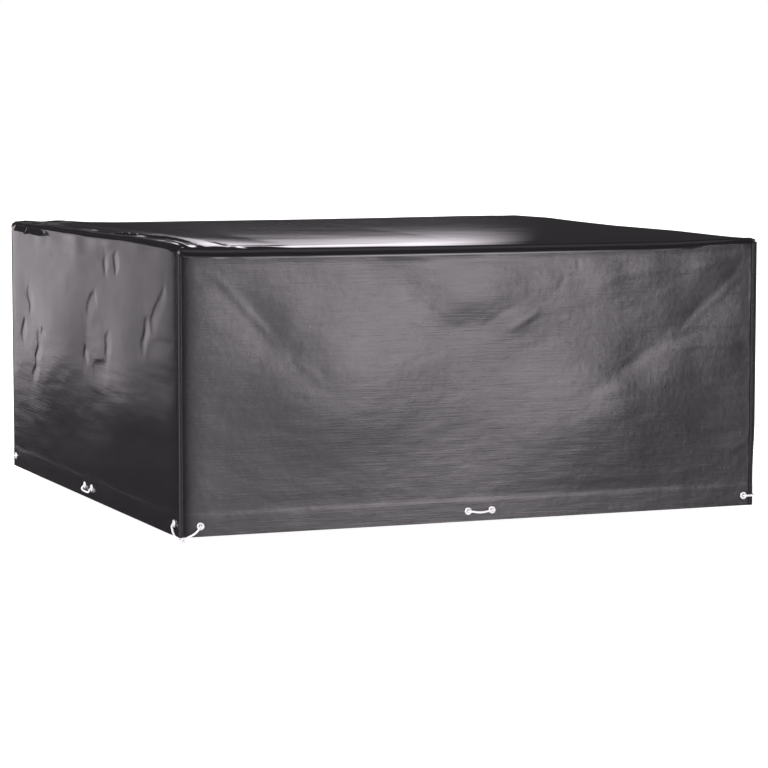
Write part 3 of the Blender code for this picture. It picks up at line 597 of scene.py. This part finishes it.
def corner_relief(wall, s):
    """Soft dips beside the upright corners; under a wrap's edge the end walls rise to meet it."""
    near = s < wall.length / 2
    run = np.minimum(s, wall.length - s)
    depth, start, length = SIDE_DIP if wall.wraps else END_DIP
    dip = -depth * np.exp(-np.maximum(run - start, 0.0) / length)
    if wall.wraps:
        share = np.where(near & (wall.facing < 0), 1.0, FAR_DIP_SHARE)
        return dip * share * rise(run, 0.010, 0.018)
    return np.where(near, dip + LAP_LIFT * rise(run, 0.0115, 0.0085), 0.0)


def pucker_relief(wall, drawn, height, below_head, run):
    """Small puckers that start at the hem, the top's seam and the corners, and die out from them."""
    rows = ((HEM_PUCKERS, wall.crumpling, drawn, height - HEM_HEIGHT, 7),
            (HEAD_PUCKERS, wall.head, drawn, below_head - 0.012, 8),
            (CORNER_PUCKERS, wall.crumpling, height, run - 0.022, 9))
    total = 0.0
    for (depth, reach), share, along, off, step in rows:
        away = np.abs(off)
        noise = smooth_noise(along + 1.0, away * 0.4 + 1.0, *PUCKER_CELL, wall.seed + step)
        total = total + depth * share * noise * np.exp(-away / reach)
    return total


def window(places, spans):
    """1 past the end of every span, and 0 before the start of any."""
    return math.prod(rise(place, *span) for place, span in zip(places, spans))


def wall_relief(side, s, z):
    """How far a wall stands out from its nominal face."""
    wall = WALLS[side]
    seed = wall.seed
    run = np.minimum(s, wall.length - s)
    height = z - HEM_Z
    below_head = wall_head(side, s) - z
    inwards = (run, height, below_head)
    drawn = s / wall.stretch

    broad = solid_relief(side, s, z) * window(inwards, BROAD_SPANS)
    fine = crease_relief(wall.creases, s, height, seed, wall.skew)
    fine += wall.crumpling * crumple_relief(WALL_CRUMPLES, drawn, height, seed)
    fine *= window(inwards, FINE_SPANS)

    small = pucker_relief(wall, drawn, height, below_head, run)
    for (depth, *cells), along, step in ((wall.mottle, s, 12), (GRAIN, drawn, 6)):
        small += depth * smooth_noise(along, height, *cells, seed + step)
    small *= rise(run, 0.012, 0.024)

    head = HEAD_PROUD * rise(below_head, 0.03, 0.0) * rise(run, 0.009, 0.039)
    return broad + fine + small + hem_relief(height) + corner_relief(wall, s) + head


def on_cloth(side, s, z, out=0.0):
    """Places at a distance out from a wall's cloth."""
    return WALLS[side].place(s, z, wall_relief(side, s, z) + out)


# --- meshes ---

def graded_lines(start, end, fine, coarse, margin):
    """Grid lines from start to end, fine within `margin` of both ends and coarse between."""
    near = np.linspace(start, start + margin, round(margin / fine) + 1)
    count = round((end - start - 2 * margin) / coarse)
    middle = np.linspace(start + margin, end - margin, count + 1)
    far = np.linspace(end - margin, end, round(margin / fine) + 1)
    return np.concatenate((near, middle[1:-1], far))


def with_edge_lines(lines):
    """Add a grid line close to each end."""
    return np.sort(np.append(lines, (lines[0] + EDGE_LINE, lines[-1] - EDGE_LINE)))


def with_hole_lines(lines, centres):
    """Swap the grid lines near each centre for four that frame an eyelet's hole."""
    clear = HOLE_HALF + 0.0015
    kept = [line for line in lines if all(abs(line - centre) > clear for centre in centres)]
    frame_lines = [centre + half for centre in centres
                   for half in (-HOLE_HALF, -HOLE_NARROW, HOLE_NARROW, HOLE_HALF)]
    return np.array(sorted(kept + frame_lines))


def grid_faces(rows, columns):
    """Four-sided faces of a grid of points."""
    index = np.arange(rows * columns).reshape(rows, columns)
    corners = (index[:-1, :-1], index[1:, :-1], index[1:, 1:], index[:-1, 1:])
    return np.stack([corner.ravel() for corner in corners], axis=-1)


def tube_faces(rows, columns):
    """Four-sided faces of rings of points that follow each other, and the points' indices."""
    index = np.arange(rows * columns).reshape(rows, columns)
    after = np.roll(index, -1, axis=1)
    faces = np.stack((index[:-1], after[:-1], after[1:], index[1:]), axis=-1)
    return faces.reshape(-1, 4).tolist(), index


def mesh_object(name, points, faces, material, uv=None):
    """A smooth object of one material, with UVs by point if they are given."""
    mesh = bpy.data.meshes.new(name)
    mesh.from_pydata(np.asarray(points).tolist(), [], [[int(n) for n in face] for face in faces])
    if uv is not None:
        layer = mesh.uv_layers.new(name="along")
        corners = np.array([loop.vertex_index for loop in mesh.loops])
        layer.data.foreach_set("uv", np.asarray(uv)[corners].ravel())
    mesh.materials.append(material)
    mesh.shade_smooth()
    item = bpy.data.objects.new(name, mesh)
    bpy.context.scene.collection.objects.link(item)
    return item


def sheet_object(name, points, faces, material):
    """A sheet given its thickness, inwards from the outer face."""
    item = mesh_object(name, points, faces, material)
    solidify = item.modifiers.new("thickness", "SOLIDIFY")
    solidify.thickness = SHEET_THICKNESS
    solidify.offset = -1.0
    solidify.use_even_offset = False
    return item


def wall_grid(side):
    """Places (s, z) of a wall's grid, with an eight-sided hole at each eyelet, and its faces."""
    wall = WALLS[side]
    across = graded_lines(wall.start, wall.length - wall.start, 0.0022, wall.cell, 0.045)
    across = with_edge_lines(with_hole_lines(across, wall.eyelets().values()))
    heights = HEM_Z + GRID_HEIGHT * graded_lines(0.0, 1.0, 0.004, wall.cell / GRID_HEIGHT, 0.04)
    heights = with_edge_lines(with_hole_lines(heights, [wall.eyelet_z]))
    s, z = np.meshgrid(across, heights, indexing="ij")
    moving = z - HEM_Z - GRID_STILL
    stretch = (wall_head(side, across) - HEM_Z - GRID_STILL) / (GRID_HEIGHT - GRID_STILL)
    z = np.where(moving > 0.0, HEM_Z + GRID_STILL + moving * stretch[:, None], z)
    gone = set()
    slant = (HOLE_HALF + HOLE_NARROW) / 2
    for centre in wall.eyelets().values():
        i = int(np.argmin(np.abs(across - (centre - HOLE_HALF))))
        j = int(np.argmin(np.abs(heights - (wall.eyelet_z - HOLE_HALF))))
        for a, b in ((1, 1), (1, 2), (2, 1), (2, 2)):
            s[i + a, j + b] = centre + math.copysign(slant, a - 1.5)
            z[i + a, j + b] = wall.eyelet_z + math.copysign(slant, b - 1.5)
        gone |= {(i + 1, j), (i, j + 1), (i + 1, j + 1), (i + 2, j + 1), (i + 1, j + 2)}
    faces = grid_faces(*s.shape)
    columns = s.shape[1] - 1
    kept = [divmod(number, columns) not in gone for number in range(len(faces))]
    return s, z, faces[kept]


def make_wall(side, material):
    wall = WALLS[side]
    s, z, faces = wall_grid(side)
    if (wall.facing < 0) == wall.wraps:
        faces = faces[:, ::-1]
    return sheet_object(side + "_sheet", on_cloth(side, s, z).reshape(-1, 3), faces, material)


# --- the top ---

def top_height(x, y):
    """The solid's edge heights, and inside them a crown that is steepest along the front."""
    last = TOP_FIELD.shape[0] - 1
    half = WIDTH / 2 - FIELD_INSET
    u = np.clip((x + half) * last / (2 * half), 0.0, last - 0.001)
    v = np.clip((y + half) * last / (2 * half), 0.0, last - 0.001)
    inset = WIDTH / 2 - np.maximum(np.abs(x), np.abs(y))
    across, deep = x + WIDTH / 2, y + DEPTH / 2
    edge = spline_field(TOP_FIELD, u, v) + raised_corner(across, deep)
    edge = edge + CROWN_LIFT * rise(deep, 0.0, 0.5)
    back = spline_field(TOP_FIELD, u, np.full_like(v, last * 0.9)) + CROWN_LIFT
    front = RIM["front"].mean()
    crown = front + (back - front) * (1.0 - np.exp(-deep / CROWN_REACH))
    inner = rise(inset, FIELD_INSET, FIELD_INSET + 0.11)
    fine = crease_relief(TOP_CREASES, across, deep, 71) + crumple_relief(TOP_CRUMPLES, across, deep)
    return edge * (1.0 - inner) + crown * inner + fine * rise(inset, 0.012, 0.042)


def rim_section():
    """(distance inside the outline, drop) from the inner start of the arc to the free edge."""
    rows = []
    for turn in np.linspace(0.0, RIM_STEEP, RIM_STEPS + 1):
        inside = RIM_ARC * (math.sin(RIM_STEEP) - math.sin(turn)) + RIM_INSIDE
        rows.append((inside, RIM_ARC * (1.0 - math.cos(turn))))
    return rows + list(RIM_TAIL)


def rim_share(x, y):
    """Share of the section's drop at each place on the outline, small at the right front corner."""
    across, deep = x + WIDTH / 2, y + DEPTH / 2
    left = LEFT_RIM_SHARE + (NEAR_RIM_SHARE - LEFT_RIM_SHARE) * np.exp(-deep / 0.20)
    other = 1.0 - 0.75 * rise(across, 1.36, 1.61) * rise(deep, 0.14, 0.0)
    return left + (other - left) * rise(across, 0.002, 0.022)


def outline_feet(lines):
    """For each boundary point of a square grid: its place and outward normal on the outline."""
    flat = WIDTH / 2 - CORNER_RADIUS
    offsets = lines / lines[-1] * (flat + CORNER_RADIUS * math.pi / 4)
    places, normals = [], []
    for angle in (-90, 0, 90, 180):
        turn = math.radians(angle)
        facing = np.array((math.cos(turn), math.sin(turn)))
        along = np.array((-math.sin(turn), math.cos(turn)))
        for offset in offsets[:-1]:
            past = math.copysign(max(abs(offset) - flat, 0.0), offset)
            bend = past / CORNER_RADIUS
            normal = math.cos(bend) * facing + math.sin(bend) * along
            places.append(facing * flat + along * (offset - past) + CORNER_RADIUS * normal)
            normals.append(normal)
    return np.array(places), np.array(normals)


def boundary_indices(count):
    """Indices of a square grid's boundary, front, right, back and left, anticlockwise."""
    index = np.arange(count * count).reshape(count, count)
    return np.concatenate((index[:-1, 0], index[-1, :-1], index[:0:-1, -1], index[0, :0:-1]))


def rim_rows(lines):
    """Rows of points down the top's rim, each all the way round."""
    feet, normals = outline_feet(lines)
    level = top_height(*(feet - normals * FIELD_INSET).T)
    share = rim_share(*feet.T)
    at_corner = rise(WIDTH / 2 - np.abs(feet).min(axis=1), 0.030, 0.0)
    run = np.arange(len(feet)) * RIM_STEP
    waves = RIM_RIPPLE * smooth_noise(run, run * 0.0, 0.045, 1.0, 81) * (feet[:, 0] > 0.02 - WIDTH / 2)
    rows = []
    for number, (inside, drop) in enumerate(rim_section()):
        ripple = waves * min(number / RIM_STEPS, 1.0)
        fall = drop * share
        if number > RIM_STEPS:
            fall = np.maximum(fall, FLANGE_DROP + 0.3 * (drop - RIM_TAIL[0][1]))
        inwards = inside + RIM_CORNER_INSIDE * at_corner * rise(number, 0, 4) - ripple
        rows.append(np.column_stack((feet - normals * inwards[:, None], level - fall + 0.6 * ripple)))
    return rows


def make_top(material):
    half = WIDTH / 2 - RIM_INSET
    lines = graded_lines(-half, half, 0.005, 0.0102, 0.20)
    x, y = np.meshgrid(lines, lines, indexing="ij")
    rows = rim_rows(lines)
    points = [np.stack((x, y, top_height(x, y)), axis=-1).reshape(-1, 3)] + rows
    faces = [grid_faces(len(lines), len(lines))]
    ring = boundary_indices(len(lines))
    for number in range(len(rows)):
        below = len(lines) ** 2 + number * len(ring) + np.arange(len(ring))
        faces.append(np.stack((ring, below, np.roll(below, -1), np.roll(ring, -1)), axis=-1))
        ring = below
    return sheet_object("top_sheet", np.concatenate(points), np.concatenate(faces), material)


def make_pleat(material):
    line = np.array(PLEAT_LINE)
    steps = np.linspace(0.0, 1.0, 90)
    along = np.interp(steps, np.linspace(0.0, 1.0, len(line)), line[:, 0])
    level = np.interp(steps, np.linspace(0.0, 1.0, len(line)), line[:, 1])
    ragged = 0.0016 * smooth_noise(along, along * 0.0, 0.018, 1.0, 91)
    ragged -= 0.0040 * np.exp(-((along - PLEAT_NICK) / 0.010) ** 2)
    full = rise(steps, 1.0, 0.97) * rise(steps, 0.0, 0.30)
    columns = []
    for out, up in PLEAT_SECTION:
        edge = ragged if up < 0.0 else 0.3 * ragged
        height = level + up * (0.6 + 0.4 * full) + edge
        columns.append(side_place(-1, along, height, out * full - 0.0010 * (1.0 - full)))
    faces, index = tube_faces(len(steps), len(columns))
    faces += [index[0][::-1], index[-1]]
    pleat = mesh_object("far_left_pleat", np.stack(columns, axis=1).reshape(-1, 3), faces, material)
    pleat.data.set_sharp_from_angle(angle=math.radians(30))
    return pleat


# --- eyelets, cords and stitches ---

def eyelet_profile():
    """(radius, distance out) round a rolled flange, down the barrel and over the washer."""
    wide, high = FLANGE_ROLL
    turns = [math.pi * step / 8 for step in range(9)]
    roll = [(FLANGE_RADIUS - wide * math.cos(turn), 0.0004 + high * math.sin(turn)) for turn in turns]
    return roll + list(EYELET_TAIL)


def make_eyelet(side, key, along, material):
    wall = WALLS[side]
    profile = eyelet_profile()
    centre = wall.spot(along, wall.eyelet_z, 0.0)
    outward = (wall.spot(along, wall.eyelet_z, 1.0) - centre).normalized()
    upward = Vector((0.0, 0.0, 1.0))
    across = upward.cross(outward)
    points = []
    for turn in np.linspace(0.0, 2 * math.pi, EYELET_TURNS, endpoint=False):
        spoke = math.cos(turn) * across + math.sin(turn) * upward
        points += [tuple(centre + radius * spoke + out * outward) for radius, out in profile]
    faces, _ = tube_faces(EYELET_TURNS + 1, len(profile))
    faces = [[number % len(points) for number in face] for face in faces]
    return mesh_object(side + "_" + key + "_eyelet", points, faces, material)


def smooth_route(points):
    """Evenly spaced places along a Catmull-Rom curve through the points."""
    spots = np.array([tuple(point) for point in points])
    ends = np.vstack((2 * spots[0] - spots[1], spots, 2 * spots[-1] - spots[-2]))
    t = np.linspace(0.0, 1.0, 24, endpoint=False)[:, None]
    dense = []
    for before, start, end, after in zip(ends, ends[1:], ends[2:], ends[3:]):
        bend = (2 * before - 5 * start + 4 * end - after) * t ** 2
        twist = (3 * start - before - 3 * end + after) * t ** 3
        dense.append(0.5 * (2 * start + (end - before) * t + bend + twist))
    dense = np.vstack(dense + [spots[-1:]])
    travelled = distances(dense)
    wanted = np.linspace(0.0, travelled[-1], max(round(travelled[-1] / CORD_STEP), 4) + 1)
    return np.column_stack([np.interp(wanted, travelled, dense[:, axis]) for axis in range(3)])


def make_tube(name, route, radius, material):
    """A round tube with domed ends along a route; its UVs are (turn, metres)."""
    ahead = np.gradient(route, axis=0)
    ahead /= np.linalg.norm(ahead, axis=1)[:, None]
    side = np.cross(ahead[0], (0.31, 0.17, 0.94))
    turns = np.linspace(0.0, 2 * math.pi, CORD_SIDES, endpoint=False)
    travelled = distances(route)
    count = len(route)
    domes = {0: 0.45, 1: 0.86, count - 2: 0.86, count - 1: 0.45}
    points, uvs = [], []
    for row, (spot, heading) in enumerate(zip(route, ahead)):
        side = side - heading * np.dot(side, heading)
        side /= np.linalg.norm(side)
        ring = np.outer(np.cos(turns), side) + np.outer(np.sin(turns), np.cross(heading, side))
        points.append(spot + radius * domes.get(row, 1.0) * ring)
        uvs.append(np.column_stack((turns / (2 * math.pi), np.full(CORD_SIDES, travelled[row]))))
    points.append([route[0] - 0.1 * radius * ahead[0], route[-1] + 0.1 * radius * ahead[-1]])
    uvs.append([[0.0, 0.0], [0.0, travelled[-1]]])
    faces, index = tube_faces(count, CORD_SIDES)
    after = np.roll(index, -1, axis=1)
    start_tip, end_tip = index.size, index.size + 1
    faces += [(start_tip, after[0, n], index[0, n]) for n in range(CORD_SIDES)]
    faces += [(end_tip, index[-1, n], after[-1, n]) for n in range(CORD_SIDES)]
    return mesh_object(name, np.vstack(points), faces, material, np.vstack(uvs))


def make_knot(name, centre, heading, sizes, turn, material):
    """A tight overhand knot: a trefoil whose axis points along `heading`."""
    size, strand = sizes
    steps = np.linspace(0.0, 2 * math.pi, 60)
    curve = np.column_stack((np.sin(steps) + 2 * np.sin(2 * steps),
                             np.cos(steps) - 2 * np.cos(2 * steps), -1.6 * np.sin(3 * steps))) / 3.0
    aim = Vector(heading).normalized().to_track_quat("Z", "Y").to_matrix()
    turned = np.array(aim @ Matrix.Rotation(turn, 3, "Z"))
    return make_tube(name, np.array(centre) + size * curve @ turned.T, strand, material)


def stop_route(side, along):
    """The hidden end of a cord, from its stop knot out through the eyelet."""
    wall = WALLS[side]
    return [wall.spot(along, wall.eyelet_z, out) for out in STOP]


def middle_route(side):
    """Between the two middle eyelets of a wall."""
    wall = WALLS[side]
    centre = wall.length / 2 + wall.pair_shift
    shape = SLACK_ROUTE if side == "left" else TAUT_ROUTE
    return [wall.spot(centre + part * PAIR_SPACING / 2, wall.eyelet_z + up, out)
            for part, up, out in shape]


def corner_route(end_wall, end_along, side_wall, side_along):
    """From an eyelet on an end wall, round the corner, to one on a side wall."""
    turn_x = 1 if end_along > WIDTH / 2 else -1
    turn_y = 1 if side_along > DEPTH / 2 else -1
    leads = [[wall.spot(along + turn * run, wall.eyelet_z, out) for run, out in CORNER_LEAD]
             for wall, along, turn in ((end_wall, end_along, turn_x), (side_wall, side_along, turn_y))]
    centre = Vector((turn_x * (WIDTH / 2 - CORNER_RADIUS), turn_y * (DEPTH / 2 - CORNER_RADIUS),
                     (end_wall.eyelet_z + side_wall.eyelet_z) / 2))
    bend = []
    for degrees in (10, 45, 80):
        turn = math.radians(degrees)
        spoke = Vector((turn_x * math.sin(turn), turn_y * math.cos(turn), 0.0))
        bend.append(centre + CORNER_REACH * spoke)
    return leads[0] + bend + leads[1][::-1]


def tie_route(first, last):
    """From eyelet to eyelet, each given as (wall, key), with both hidden ends."""
    (side, key), (last_side, last_key) = first, last
    wall, last_wall = WALLS[side], WALLS[last_side]
    along, last_along = wall.eyelets()[key], last_wall.eyelets()[last_key]
    if side == last_side:
        middle = middle_route(side)
    else:
        middle = corner_route(wall, along, last_wall, last_along)
    return smooth_route(stop_route(side, along) + middle + stop_route(last_side, last_along)[::-1])


def near_route(side, lead, end):
    """A strand from its eyelet down to the near corner's knot, through it and on to its free end."""
    wall = WALLS[side]
    along = wall.eyelets()["near"]
    route = stop_route(side, along)
    route += [wall.spot(along - run, wall.eyelet_z + up, out) for run, up, out in lead]
    route += [KNOT_PLACE] + [KNOT_PLACE + Vector(offset) for offset in FREE_ENDS[end]]
    return smooth_route(route)


def stitch_row(side, first, last):
    """Corners of the stitches on a level or upright line on a wall, from (s, z) to (s, z)."""
    run = np.subtract(last, first)
    length = np.linalg.norm(run)
    count = round(length / STITCH_PITCH)
    middles = first + run * ((np.arange(count) + 0.5) / count)[:, None]
    along = run / length
    across = along[::-1]
    long, broad, thick = STITCH_HALF
    corners = []
    for shift, out in ((-long * along, 0.0), (long * along, 0.0), (-broad * across, 0.0),
                       (broad * across, 0.0), (0.0 * along, thick), (0.0 * along, -thick)):
        corners.append(on_cloth(side, *(middles + shift).T, out))
    return np.stack(corners, axis=1).reshape(-1, 3)


def make_stitches(side, material):
    """The hem's stitches, and on a side wall those of both its upright seams."""
    wall = WALLS[side]
    margin = wall.start + STITCH_MARGIN
    level = HEM_Z + HEM_HEIGHT
    rows = [stitch_row(side, (margin, level), (wall.length - margin, level))]
    if wall.wraps:
        for seam in (wall.start + SEAM_MARGIN, wall.length - wall.start - SEAM_MARGIN):
            head = float(wall_head(side, np.array(seam))) - 0.006
            rows.append(stitch_row(side, (seam, HEM_Z + 0.004), (seam, head)))
    points = np.vstack(rows)
    octahedra = 6 * np.arange(len(points) // 6)[:, None, None]
    return mesh_object(side + "_stitches", points, (octahedra + STITCH_FACES).reshape(-1, 3), material)


# --- materials ---

def new_material(name):
    """A material with its node tree and its shader."""
    material = bpy.data.materials.new(name)
    material.use_nodes = True
    return material, material.node_tree, material.node_tree.nodes["Principled BSDF"]


def set_inputs(tree, node, inputs):
    """Link each input to a socket, or set it to a plain value."""
    for key, value in inputs.items():
        if isinstance(value, bpy.types.NodeSocket):
            tree.links.new(value, node.inputs[key])
        else:
            node.inputs[key].default_value = value


def add_node(tree, kind, inputs, **settings):
    """The outputs of a new node."""
    node = tree.nodes.new("ShaderNode" + kind)
    for key, value in settings.items():
        setattr(node, key, value)
    set_inputs(tree, node, inputs)
    return node.outputs


def math_node(tree, operation, first, second=0.0):
    """The result of an operation on sockets or numbers."""
    return add_node(tree, "Math", {0: first, 1: second}, operation=operation)[0]


def multiply(tree, first, *others):
    """The product of sockets or numbers."""
    for other in others:
        first = math_node(tree, "MULTIPLY", first, other)
    return first


def scaled_place(tree, scale):
    """Object coordinates stretched by a factor on each axis."""
    coordinates = add_node(tree, "TexCoord", {})["Object"]
    return add_node(tree, "Mapping", {"Vector": coordinates, "Scale": scale})[0]


def streaks(tree, scale, detail=2.0):
    """Noise stretched by the scale, which is drawn out on axes of small scale."""
    place = scaled_place(tree, scale)
    return add_node(tree, "TexNoise", {"Vector": place, "Scale": 1.0, "Detail": detail})["Fac"]


def remap(tree, value, start, end, low, high):
    """A value of start..end carried over to low..high."""
    return add_node(tree, "MapRange", {"Value": value, "From Min": start, "From Max": end,
                                       "To Min": low, "To Max": high})[0]


def blend(tree, factor, first, second):
    """A colour between two others."""
    return add_node(tree, "Mix", {0: factor, 6: (*first, 1.0), 7: (*second, 1.0)}, data_type="RGBA")[2]


def raised(tree, height, strength, depth):
    """Normals of a small relief."""
    return add_node(tree, "Bump", {"Height": height, "Strength": strength, "Distance": depth})["Normal"]


def sheet_material(name, axes, relief, gloss, under=0.35):
    """Black woven sheet with a glossy film; `axes` are the panel's two in-plane axes (0, 1 or 2)."""
    material, tree, shader = new_material(name)
    lines, waves = [], []
    for axis in axes:
        wave = add_node(tree, "TexWave",
                        {"Vector": scaled_place(tree, (1.0, 1.0, 1.0)), "Scale": math.pi / 10 / TAPE_PITCH,
                         "Distortion": 0.6, "Detail": 1.0, "Detail Scale": 0.3},
                        wave_type="BANDS", bands_direction="XYZ"[axis])
        waves.append(wave["Fac"])
        scale = [9.0] * 3
        scale[axis] = 300.0
        lines.append(streaks(tree, scale))
    lines = math_node(tree, "ADD", multiply(tree, lines[0], 0.03), lines[1])
    crinkle = streaks(tree, (60.0, 22.0 if axes == (1, 2) else 60.0, 60.0), 4.0)
    height = math_node(tree, "ADD", multiply(tree, *waves, 0.2), multiply(tree, lines, 0.85))
    height = math_node(tree, "ADD", height, multiply(tree, crinkle, 1.1))
    normal = raised(tree, height, relief, 0.0006)
    patches = streaks(tree, (9.0, 9.0, 9.0), 3.0)
    shade = remap(tree, lines, 0.5, 1.1, 0.0, 1.0)
    set_inputs(tree, shader, {
        "Base Color": blend(tree, shade, (0.0105, 0.0098, 0.0108), (0.0190, 0.0178, 0.0195)),
        "Roughness": remap(tree, patches, 0.3, 0.7, 0.26 / gloss, 0.36 / gloss),
        "Normal": normal,
        "Coat Normal": normal,
        "Coat Weight": 1.0,
        "Coat Roughness": 0.12 / gloss,
        "Specular IOR Level": under,
    })
    return material


def metal_material():
    material, tree, shader = new_material("plated_metal")
    scratches = streaks(tree, (900.0, 900.0, 900.0))
    dull = streaks(tree, (160.0, 160.0, 160.0))
    set_inputs(tree, shader, {
        "Base Color": blend(tree, dull, (0.97, 0.97, 0.97), (0.92, 0.92, 0.93)),
        "Roughness": remap(tree, scratches, 0.0, 1.0, 0.34, 0.50),
        "Metallic": 0.5,
    })
    return material


def cord_material():
    """White braid: two sets of strands that cross, by the tube's UVs."""
    material, tree, shader = new_material("braided_cord")
    uv = add_node(tree, "UVMap", {}, uv_map="along")[0]
    turn, metres = add_node(tree, "SeparateXYZ", {0: uv})[:2]
    around = multiply(tree, turn, 6 * 2 * math.pi)
    onward = multiply(tree, metres, 2 * math.pi / 0.0042)
    strands = [math_node(tree, "SINE", math_node(tree, way, around, onward)) for way in ("ADD", "SUBTRACT")]
    braid = multiply(tree, *strands)
    shade = math_node(tree, "MULTIPLY_ADD", braid, 0.5)
    set_inputs(tree, shader, {
        "Base Color": blend(tree, shade, (0.86, 0.86, 0.86), (0.70, 0.70, 0.70)),
        "Normal": raised(tree, braid, 0.6, 0.0004),
        "Roughness": 0.6,
        "Sheen Weight": 0.3,
    })
    return material


def thread_material():
    material, tree, shader = new_material("stitch_thread")
    twist = streaks(tree, (2500.0, 2500.0, 2500.0), 1.0)
    set_inputs(tree, shader, {
        "Base Color": blend(tree, twist, (0.020, 0.020, 0.020), (0.045, 0.044, 0.045)),
        "Roughness": 0.55,
    })
    return material


# --- stage ---

def make_camera():
    data = bpy.data.cameras.new("camera")
    data.lens = CAMERA_LENS
    data.sensor_width = 36.0
    camera = bpy.data.objects.new("camera", data)
    camera.location = CAMERA_PLACE
    camera.rotation_euler = (math.pi / 2 + CAMERA_PITCH, 0.0, CAMERA_YAW)
    bpy.context.scene.collection.objects.link(camera)
    bpy.context.scene.camera = camera


def make_floor():
    """A white floor that is left out of reflections."""
    level = CAD_BOX[0].z - FLOOR_GAP
    points = [(x * FLOOR_HALF, y * FLOOR_HALF, level) for x, y in ((-1, -1), (1, -1), (1, 1), (-1, 1))]
    material, tree, shader = new_material("pale_floor")
    set_inputs(tree, shader, {"Base Color": (0.9, 0.9, 0.9, 1.0), "Emission Color": (1.0, 1.0, 1.0, 1.0),
                              "Emission Strength": 1.0})
    floor = mesh_object("floor", points, [(0, 1, 2, 3)], material)
    floor.visible_glossy = False
    floor.visible_shadow = False


def wrapped(tree, angle):
    """An angle brought to within half a turn of zero."""
    return add_node(tree, "Math", {0: angle, 1: math.pi, 2: -math.pi}, operation="WRAP")[0]


def soft_step(tree, value, edge, blur):
    """Smooth rise from 0 to 1 over `blur` degrees to each side of the edge; a fall if it is negative."""
    low, high = math.radians(edge - blur), math.radians(edge + blur)
    return add_node(tree, "MapRange", {"Value": value, "From Min": low, "From Max": high},
                    interpolation_type="SMOOTHSTEP")[0]


def make_world():
    """A white backdrop for the camera, and the soft lights for everything else."""
    world = bpy.data.worlds.new("studio")
    bpy.context.scene.world = world
    world.use_nodes = True
    tree = world.node_tree
    tree.nodes.clear()
    direction = add_node(tree, "TexCoord", {})["Generated"]
    x, y, z = add_node(tree, "SeparateXYZ", {0: direction})
    azimuth = math_node(tree, "ARCTAN2", x, y)
    elevation = math_node(tree, "ARCSINE", z)
    glows = []
    for middle, half_width, side_blur, low, high, blur, strength in GLOWS:
        turn = wrapped(tree, math_node(tree, "SUBTRACT", azimuth, math.radians(middle)))
        turn = math_node(tree, "ABSOLUTE", turn)
        glows.append(multiply(tree, soft_step(tree, turn, half_width, -side_blur),
                              soft_step(tree, elevation, low, blur),
                              soft_step(tree, elevation, high, -blur), strength))
    light = glows[0]
    for glow in glows[1:] + [AMBIENT]:
        light = math_node(tree, "ADD", light, glow)
    studio = add_node(tree, "Background", {"Color": STUDIO_TINT, "Strength": light})[0]
    backdrop = add_node(tree, "Background", {"Color": (1.0, 1.0, 1.0, 1.0), "Strength": 1.0})[0]
    seen = add_node(tree, "LightPath", {})["Is Camera Ray"]
    surface = add_node(tree, "MixShader", {0: seen, 1: studio, 2: backdrop})[0]
    add_node(tree, "OutputWorld", {"Surface": surface})
    bpy.context.scene.view_settings.view_transform = "Standard"


# --- assembly ---

def dress(piece, slot, *nodes):
    """Let a piece ride its body, in place of the nodes, if there are any. Its slot is not used."""
    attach(piece, "root")
    if nodes:
        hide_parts(*nodes)
    return piece


def add_eyelets(metal, cord):
    """All the eyelets, and the stop knots behind them by (wall, key)."""
    stops = {}
    for side, wall in WALLS.items():
        for key, along in wall.eyelets().items():
            dress(make_eyelet(side, key, along, metal), "eyelet_metal", "eyelet_" + side + "_" + key)
            place = wall.spot(along, wall.eyelet_z, STOP_DEPTH)
            heading = place - wall.spot(along, wall.eyelet_z, 0.0)
            name = side + "_" + key + "_stop"
            stop = make_knot(name, place, heading, STOP_KNOT, along * 9.0, cord)
            stops[side, key] = dress(stop, "tie_cord")
    return stops


def lay_cord(name, route, material, nodes):
    """A cord along its route, from inside its first eyelet."""
    cord = make_tube(name, route, CORD_DIAMETER / 2, material)
    dress(cord, "tie_cord", *nodes)


def add_ties(material):
    """The ties between two eyelets."""
    ties = {"tie_" + side + "_mid": ((side, "mid_a"), (side, "mid_b")) for side in WALLS}
    ties["tie_front_right"] = (("front", "far"), ("right", "near"))
    ties["tie_back_right"] = (("back", "far"), ("right", "far"))
    ties["tie_back_left"] = (("back", "near"), ("left", "far"))
    for node, ends in ties.items():
        lay_cord(node.replace("tie", "cord"), tie_route(*ends), material, [node])


def add_near_tie(stops, material):
    """The near corner's knot and the two strands that meet in it."""
    knot = make_knot("near_tie_knot", KNOT_PLACE, (0.35, -1.0, 0.25), NEAR_KNOT, 0.4, material)
    dress(knot, "tie_cord", "tie_near_knot")
    for side, lead, end, pieces in (("front", NEAR_FRONT_LEAD, "b", [knot, stops["front", "near"]]),
                                    ("left", NEAR_SIDE_LEAD, "a", [stops["left", "near"]])):
        lay_cord("cord_near_" + side, near_route(side, lead, end), material,
                 ["tie_near_" + side, "tie_near_end_" + end])


def add_walls(side_look, end_look, thread):
    for side, wall in WALLS.items():
        panel = make_wall(side, side_look if wall.wraps else end_look)
        dress(panel, "woven_sheet", side + "_panel")
        stitches = dress(make_stitches(side, thread), "woven_sheet")


def add_top(material):
    top = dress(make_top(material), "woven_sheet", "top_panel")
    pleat = dress(make_pleat(material), "woven_sheet")


make_camera()
make_world()
make_floor()
cord_look = cord_material()
stop_knots = add_eyelets(metal_material(), cord_look)
add_ties(cord_look)
add_near_tie(stop_knots, cord_look)
add_walls(sheet_material("sheet_left_right", (1, 2), 0.18, 1.5),
          sheet_material("sheet_front_back", (0, 2), 0.26, 1.0), thread_material())
add_top(sheet_material("sheet_top", (0, 1), 0.015, 3.0, 0.12))
